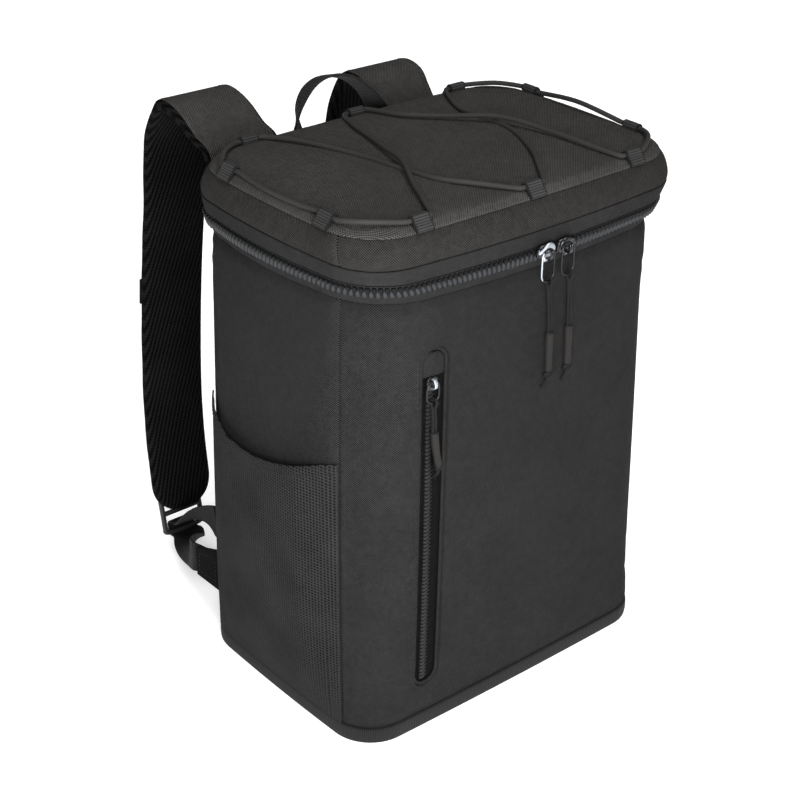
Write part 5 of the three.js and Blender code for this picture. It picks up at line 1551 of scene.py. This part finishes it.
class Strap:
    """A padded strap with its fittings, made as the left one and turned over for the right."""

    def __init__(self, side):
        self.side = side
        self.path = strap_path(STRAPS[side])
        self.t = t = np.linspace(0, 1, PAD_POINTS)
        into = np.clip((t - PAD_ROUNDED) / (1 - PAD_ROUNDED), 0, 1)
        self.width = mix(60, 51, step(t, 0.3, 0.5)) * np.sqrt(np.clip(1 - into ** 2.4 * 0.8, 0.08, 1))
        thinned = mix(1, 0.55, np.clip((t - PAD_THINNED) / (1 - PAD_THINNED), 0, 1))
        self.thick = mix(5, 10, step(t, 0.15, 0.3)) * thinned
        self.across, self.out = ring_frames(self.path, LEFTWARD)

        self.down = unit(read_at(PAD_THINNED, t, tangents(self.path)))
        self.face = unit(read_at(PAD_THINNED, t, self.out))
        self.buckle = read_at(PAD_THINNED, t, self.path) + self.face * 7.3 + self.down * 28.9

        z, i = ANCHOR_HEIGHT, np.array(float(LEFT_BACK))
        x, y, nx, ny = (float(a) for a in outline(body_plan(z), body_out(z), i))
        outward = vec(nx, ny, 0)
        self.corner = vec(x, y, z) + outward * 1.3
        self.lead = unit(unit((self.buckle - self.corner) * vec(1, 1, 0)) + outward)
        self.beside = np.cross(self.lead, vec(0, 0, 1))

    def make(self, name, shape, looks, slot, nodes=(), fill=None):
        if self.side == "right":
            shape.points = mirrored(shape.points)
        nodes = [f"{node}_{self.side}" for node in nodes]
        make(f"{name}_{self.side}", shape, looks, nodes)

    def on_pad(self, share, across, lift=0.0):
        """Points over the pad's outer face, and the ways out from there."""
        share, across = np.broadcast_arrays(np.asarray(share, float), np.asarray(across, float))
        path, side, out = (read_at(share, self.t, rows) for rows in (self.path, self.across, self.out))
        high = np.interp(share, self.t, self.thick) / 2 + lift
        return path + side * across[..., None] + out * np.asarray(high)[..., None], out

    def at(self, x, h, o):
        """A place in the buckle: sideways, up and outwards from the middle of its lower edge."""
        return self.buckle + LEFTWARD * x - self.down * h + self.face * o

    def add_pad(self):
        sections = np.array([pad_section(w, h) for w, h in zip(self.width, self.thick)])
        wave = 0.25 * np.sin(self.t * 70)[:, None] * np.cos(sections[..., 0] / 9)
        sections[..., 1] += wave * (sections[..., 1] > 0) * step(self.t, 0.3, 0.36)[:, None]
        number = np.arange(sections.shape[1])
        look_at = np.where((number >= 1) & (number <= 22), 0, 1)
        shape = Shape()
        sweep(shape, self.path, sections, across=LEFTWARD, flat=True, look_at=look_at)
        self.make("pad", shape, ["strap", "spacer"], "strap_padding", ["strap_pad"], 0.75)

    def add_pad_stitches(self):
        """A seam along both edges, one across the end, and a sewn box where the buckle's band enters."""
        seam = Shape()
        shares = np.linspace(0.16, 0.965, 220)
        half = np.interp(shares, self.t, self.width) / 2 - 6
        for edge in (-1, 1):
            stitch_line(seam, *self.on_pad(shares, edge * half))
        stitch_line(seam, *self.on_pad(0.972, np.linspace(-13, 13, 20), PAD_STITCH_LIFT))
        corners = np.array(PAD_BOX)
        steps = np.linspace(0, 1, 12)[:, None]
        shares, across = np.vstack([mix(a, b, steps) for a, b in zip(corners, corners[1:])]).T
        stitch_line(seam, *self.on_pad(shares, across, PAD_STITCH_LIFT))
        self.make("pad_stitches", seam, ["thread"], "strap_padding")

    def add_keeper(self):
        """A flat band round the pad, sewn on near both of its edges."""
        half = KEEPER_HALF / along(self.path)[-1]
        rows = self.on_pad(np.linspace(KEEPER_AT - half, KEEPER_AT + half, 9), 0, KEEPER_THICK / 2 + GAP)[0]
        keeper = Shape()
        sweep(keeper, rows, slab(51 * 0.96, KEEPER_THICK, 0.7, 3, 10), across=LEFTWARD, flat=True)
        out = self.on_pad(KEEPER_AT, 0)[1]
        lift = KEEPER_THICK + GAP + 0.1
        for x in (-19.5, 19.5):
            for s in (-0.7, 0.7):
                bar = self.on_pad(KEEPER_AT + s * half, x + vec(-3, 3), lift)[0]
                stitch_line(keeper, bar, out, 1.8, 0.7, 0.25, 1)
            rows = self.on_pad(KEEPER_AT + vec(-0.7, 0, 0.7) * half, x, lift)[0]
            stitch_line(keeper, rows, out, 1.8, 0.9, 0.25, 1)
        self.make("keeper", keeper, ["webbing", "thread"], "webbing", ["strap_keeper"])

    def add_buckle(self):
        """A ladder lock: a frame, the bar in its middle and a lip to grip."""
        buckle = Shape()
        loop = spline([self.at(x, h, 0) for x, h in BUCKLE_FRAME], True, 8)
        sweep(buckle, loop, slab(3.6, 4.0, 1.5, 3), across=self.face, closed=True)
        bar = np.array([self.at(x, 17, 0) for x in np.linspace(-16.5, 16.5, 16)])
        sweep(buckle, bar, slab(4.0, 3.6, 1.6, 4), across=self.down)
        grip = np.array([self.at(x, -1.2 + 0.4 * (x / 15) ** 2, 1.5) for x in np.linspace(-13, 13, 14)])
        sweep(buckle, grip, slab(2.4, 1.6, 0.7, 3), across=self.down)
        self.make("ladder_lock", buckle, ["buckle"], "buckle_plastic", ["strap_buckle"])

    def add_tab(self):
        """The sewn tab at the bag's corner, wider at its root."""
        share = np.linspace(0, 1, 16)
        path = self.corner + self.lead * (share * TAB_LENGTH)[:, None]
        sections = np.array([slab(w, TAB_THICK, 0.8, 3, 6) for w in mix(36, 25, share)])
        tab = Shape()
        sweep(tab, path, sections, across=vec(0, 0, -1), flat=True)
        for turn in (-1, 1):
            face = self.corner + self.beside * turn * (TAB_THICK / 2 + 0.05)
            rows = np.array([face + self.lead * a + vec(0, 0, b) for a, b in TAB_STITCHES])
            stitch_line(tab, evenly(rows, gap=0.8), self.beside * turn, look=1)
        self.make("anchor_tab", tab, ["tab", "dark_thread"], "body_fabric", ["strap_anchor"])

    def belt_line(self):
        """The webbing: from the tab up into the buckle, over its bar, and down again to its free tail."""
        beside_tab = TAB_THICK / 2 + BELT_THICK / 2 + 3 * GAP
        start = self.corner + self.lead * TAB_LENGTH * 0.3 + self.beside * beside_tab
        first = start + self.lead * TAB_LENGTH
        clear, under, over = 2 + 2 * GAP + BELT_THICK / 2, -2 * GAP - BELT_THICK / 2, 4 + 3.4
        enter = self.at(0, under - 1, -clear - 1)
        leave = self.at(0, over + 1.5, -clear - 1.5)
        tail_end = first + vec(22, 0, 21)
        sagging = [mix(first, enter, share) - vec(0, 0, drop) for share, drop in ((0.35, 2), (0.7, 3))]
        inside = [self.at(0, under - 1, GAP), self.at(0, under, clear + GAP),
                  self.at(0, over / 2, clear + GAP), self.at(0, over, clear), self.at(0, over + 2.2, 0)]
        tail = [mix(leave, tail_end, share) + vec(0, 0, 1) for share in (0.25, 0.6)]
        points = [start, (start + first) / 2, first, *sagging, enter, *inside, leave, *tail, tail_end]
        return spline(points, per=14)

    def add_belt(self):
        line = self.belt_line()
        share = np.linspace(0, 1, len(line))
        twist = step(np.minimum((share - 0.16) / 0.16, (1 - share) / 0.18), 0, 1) * PI / 2
        across = np.stack([-np.sin(twist), twist * 0, np.where(share < 0.5, -1, 1) * np.cos(twist)], 1)
        belt = Shape()
        sweep(belt, line, slab(BELT_WIDTH, BELT_THICK, 0.7, 3, 8), across=across, flat=True)
        self.make("webbing", belt, ["webbing"], "webbing", ["strap_webbing"])


for side in STRAPS:
    strap = Strap(side)
    strap.add_pad()
    strap.add_pad_stitches()
    strap.add_keeper()
    strap.add_buckle()
    strap.add_tab()
    strap.add_belt()


# Elastic lacing

# The loops in the cord's order: the edge each is sewn to, its share along it, which way the cord runs
# through, and the cord's points before the next loop, as shares of the lid's halves with a lift
LACING = [
    ("left", 0.53, 1, [(-0.965, 0.1, 3), (-0.96, -0.25, 3)]),
    ("left", -0.53, 1, [(-0.9, -0.78, 5)]),
    ("front", -0.66, 1, [(-0.53, -0.74, 5), (-0.455, -0.52, 5), (-0.32, -0.16, 6.6),
                         (-0.25, 0.15, 5), (-0.19, 0.45, 4), (-0.15, 0.68, 4)]),
    ("back", 0, -1, [(0.13, 0.66, 4), (0.28, 0.42, 4.5), (0.455, 0.12, 6.6),
                     (0.54, -0.3, 4.5), (0.56, -0.68, 4)]),
    ("front", 0.66, 1, [(0.86, -0.8, 5)]),
    ("right", -0.53, 1, [(0.925, 0, 8)]),
    ("right", 0.53, 1, [(0.84, 0.76, 5)]),
    ("back", 0.66, 1, [(0.5, 0.72, 4), (0.43, 0.45, 2.8), (0.455, 0.13, 2.3), (0.43, -0.08, 2.4),
                       (0.3, -0.47, 3.4), (0.17, -0.74, 4.4)]),
    ("front", 0, -1, [(-0.2, -0.72, 4), (-0.29, -0.48, 2.9), (-0.335, -0.17, 2.3), (-0.365, 0.12, 2.4),
                      (-0.43, 0.45, 3), (-0.51, 0.7, 4)]),
    ("back", -0.66, 1, [(-0.86, 0.78, 5)]),
]
# Each edge's inward direction, its distance from the middle, half its length and its direction
EDGES = {
    "left": (vec(1, 0, 0), LID_HALF_X, LID_HALF_Y, vec(0, 1, 0)),
    "right": (vec(-1, 0, 0), LID_HALF_X, LID_HALF_Y, vec(0, 1, 0)),
    "front": (vec(0, 1, 0), LID_HALF_Y, LID_HALF_X, vec(1, 0, 0)),
    "back": (vec(0, -1, 0), LID_HALF_Y, LID_HALF_X, vec(1, 0, 0)),
}
BUNGEE = 3.4
LOOP_WIDTH, LOOP_THICK, LOOP_INSET, LOOP_LIFT = 14.0, 1.1, 6.0, 0.6
LOOP_INNER = BUNGEE / 2 + 0.35
CORD_LIFT = LOOP_LIFT + LOOP_THICK + LOOP_INNER


def edge_point(edge, share):
    """A point on one of the lid's bowed edges."""
    inward, half, run, axis = EDGES[edge]
    bow = LID_TOP["front_bow"]
    straight = run - bow - LID_TOP["front"]
    drop = bow * min((share * run / straight) ** 2, 1)
    return axis * share * run + inward * (drop - half)


def add_loop(number, edge, share):
    """A doubled band of ribbed webbing: from the seam, over and round the cord, and back to the seam."""
    inward, axis = EDGES[edge][0], EDGES[edge][3]
    base = edge_point(edge, share)
    centre_z = crown_at(LOOP_INSET) + CORD_LIFT
    radius = LOOP_INNER + LOOP_THICK / 2
    tail_z = crown_at(0.8) + LOOP_LIFT + LOOP_THICK * 0.6
    angles = np.radians(np.linspace(-112, 122, 22))
    arc = [(LOOP_INSET + radius * math.cos(a), centre_z + radius * math.sin(a)) for a in angles]
    low = [(-0.6, tail_z - 2.6), (0.5, tail_z - 0.9), (2.2, crown_at(2.2) + 0.75)]
    high = [(2.4, tail_z + 2.6), (0.5, tail_z + 0.6), (-0.9, tail_z - 1.6)]
    profile = low + arc + high
    path = evenly(spline([base + inward * a + vec(0, 0, b) for a, b in profile], per=4), 70)
    shape = Shape()
    sweep(shape, path, slab(LOOP_WIDTH, LOOP_THICK, 0.45, 2, 8), across=axis, flat=True)
    foot = base + inward * 2.6 + vec(0, 0, tail_z + 3.15)
    bar = foot + axis * np.linspace(-5.5, 5.5, 8)[:, None]
    stitch_line(shape, bar, unit(vec(0, 0, 1) - inward * 0.8), 1.6, 0.5, 0.22, 1)
    make(f"lacing_loop_{number}", shape, ["loop", "dark_thread"],
         [f"bungee_loop_{number}"])


def add_bungee():
    points = []
    for edge, share, way, then in LACING:
        inward = EDGES[edge][0]
        middle = edge_point(edge, share) + inward * LOOP_INSET
        middle[2] = crown_at(LOOP_INSET) + CORD_LIFT
        forward = -np.cross(vec(0, 0, 1), inward) * way
        half = LOOP_WIDTH / 2
        points += [middle + forward * run for run in (-half - 2, -half, half, half + 2)]
        for x, y, lift in then:
            inset = max(min(LID_HALF_X * (1 - abs(x)), LID_HALF_Y * (1 - abs(y))), 0)
            points.append(vec(x * LID_HALF_X, y * LID_HALF_Y, crown_at(inset) + lift))
    path = spline(points, True, 20)
    path = evenly(np.vstack([path, path[:1]]), gap=1.6)[:-1]
    shape = Shape()
    sweep(shape, path, circle(BUNGEE / 2, 16), closed=True)
    make("elastic_lacing", shape, ["elastic"], ["bungee_cord"])


for number, (edge, share, _, _) in enumerate(LACING, 1):
    add_loop(number, edge, share)
add_bungee()


# Seams

def add_boxing_stitches():
    shape = Shape()
    for index in (LEFT_BACK, LEFT_FRONT, RIGHT_FRONT, RIGHT_BACK):
        for beside in (-0.22, 0.22):
            z = np.linspace(LID_HEIGHT + 1.5, LID_SEAM - 1.5, 20)
            points, normal = wall_points(lid_side_plan, z, boxing_out(z) - 0.35, np.full(20, index + beside))
            stitch_line(shape, points, normal, 2.2, 1.3, 0.26)
    make("boxing_stitches", shape, ["thread"])


add_boxing_stitches()

frame["nodes"]["base_panel"].data.materials.clear()
frame["nodes"]["base_panel"].data.materials.append(LOOKS["base"])


# Floor and light

FLOOR_HALF = 6.0
FLOOR_HEIGHT = -0.0004
FLOOR_GLOW = 0.4
WORLD_LIGHT = 0.2
# Broad lights: where each comes from, its spread in degrees and its strength
SUNS = [
    ("top", (0.0, -0.2, 1.0), 50, 2.2),
    ("right", (0.8, -0.6, 0.15), 12, 0.35),
]
# A large lamp near the front left corner
LAMP_PLACE = vec(-0.5, -0.65, 0.45)
LAMP_AIM = vec(-0.1, -0.1, 0.2)
LAMP_WIDTH = 0.35
LAMP_POWER = 11


def facing(place, towards):
    """A lamp's place and turn, so that it shines back along a direction."""
    z = unit(towards)
    x = unit(np.cross(vec(0, 0, 1), z))
    y = np.cross(z, x)
    return Matrix([[x[k], y[k], z[k], place[k]] for k in range(3)] + [[0, 0, 0, 1]])


def add_lamp(name, kind, place, towards, power, **settings):
    data = bpy.data.lights.new(name, kind)
    data.energy = power
    for key, value in settings.items():
        setattr(data, key, value)
    lamp = bpy.data.objects.new(name, data)
    lamp.matrix_world = facing(place, towards)
    scene.collection.objects.link(lamp)


def add_floor():
    corners = [(-1, -1), (1, -1), (1, 1), (-1, 1)]
    points = [(x * FLOOR_HALF, y * FLOOR_HALF, FLOOR_HEIGHT) for x, y in corners]
    floor = new_object("floor", points, [(0, 1, 2, 3)])
    look = bpy.data.materials.new("pale_floor")
    look.use_nodes = True
    shader = look.node_tree.nodes["Principled BSDF"]
    values = {"Base Color": (0.92, 0.92, 0.92, 1), "Roughness": 0.9,
              "Emission Color": (1, 1, 1, 1), "Emission Strength": FLOOR_GLOW}
    for key, value in values.items():
        shader.inputs[key].default_value = value
    floor.data.materials.append(look)
    floor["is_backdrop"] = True


def add_world():
    world = bpy.data.worlds.new("studio")
    scene.world = world
    world.use_nodes = True
    background = world.node_tree.nodes["Background"]
    background.inputs[0].default_value = (1, 1, 1, 1)
    background.inputs[1].default_value = WORLD_LIGHT


add_floor()
add_world()
for name, towards, angle, power in SUNS:
    add_lamp(name, "SUN", vec(0, 0, 0), towards, power, angle=math.radians(angle))
add_lamp("corner", "AREA", LAMP_PLACE, LAMP_PLACE - LAMP_AIM, LAMP_POWER, size=LAMP_WIDTH)
scene.view_settings.view_transform = "Standard"

sizes = [[list(map(float, corner)) for corner in box] for box in (size_before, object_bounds())]
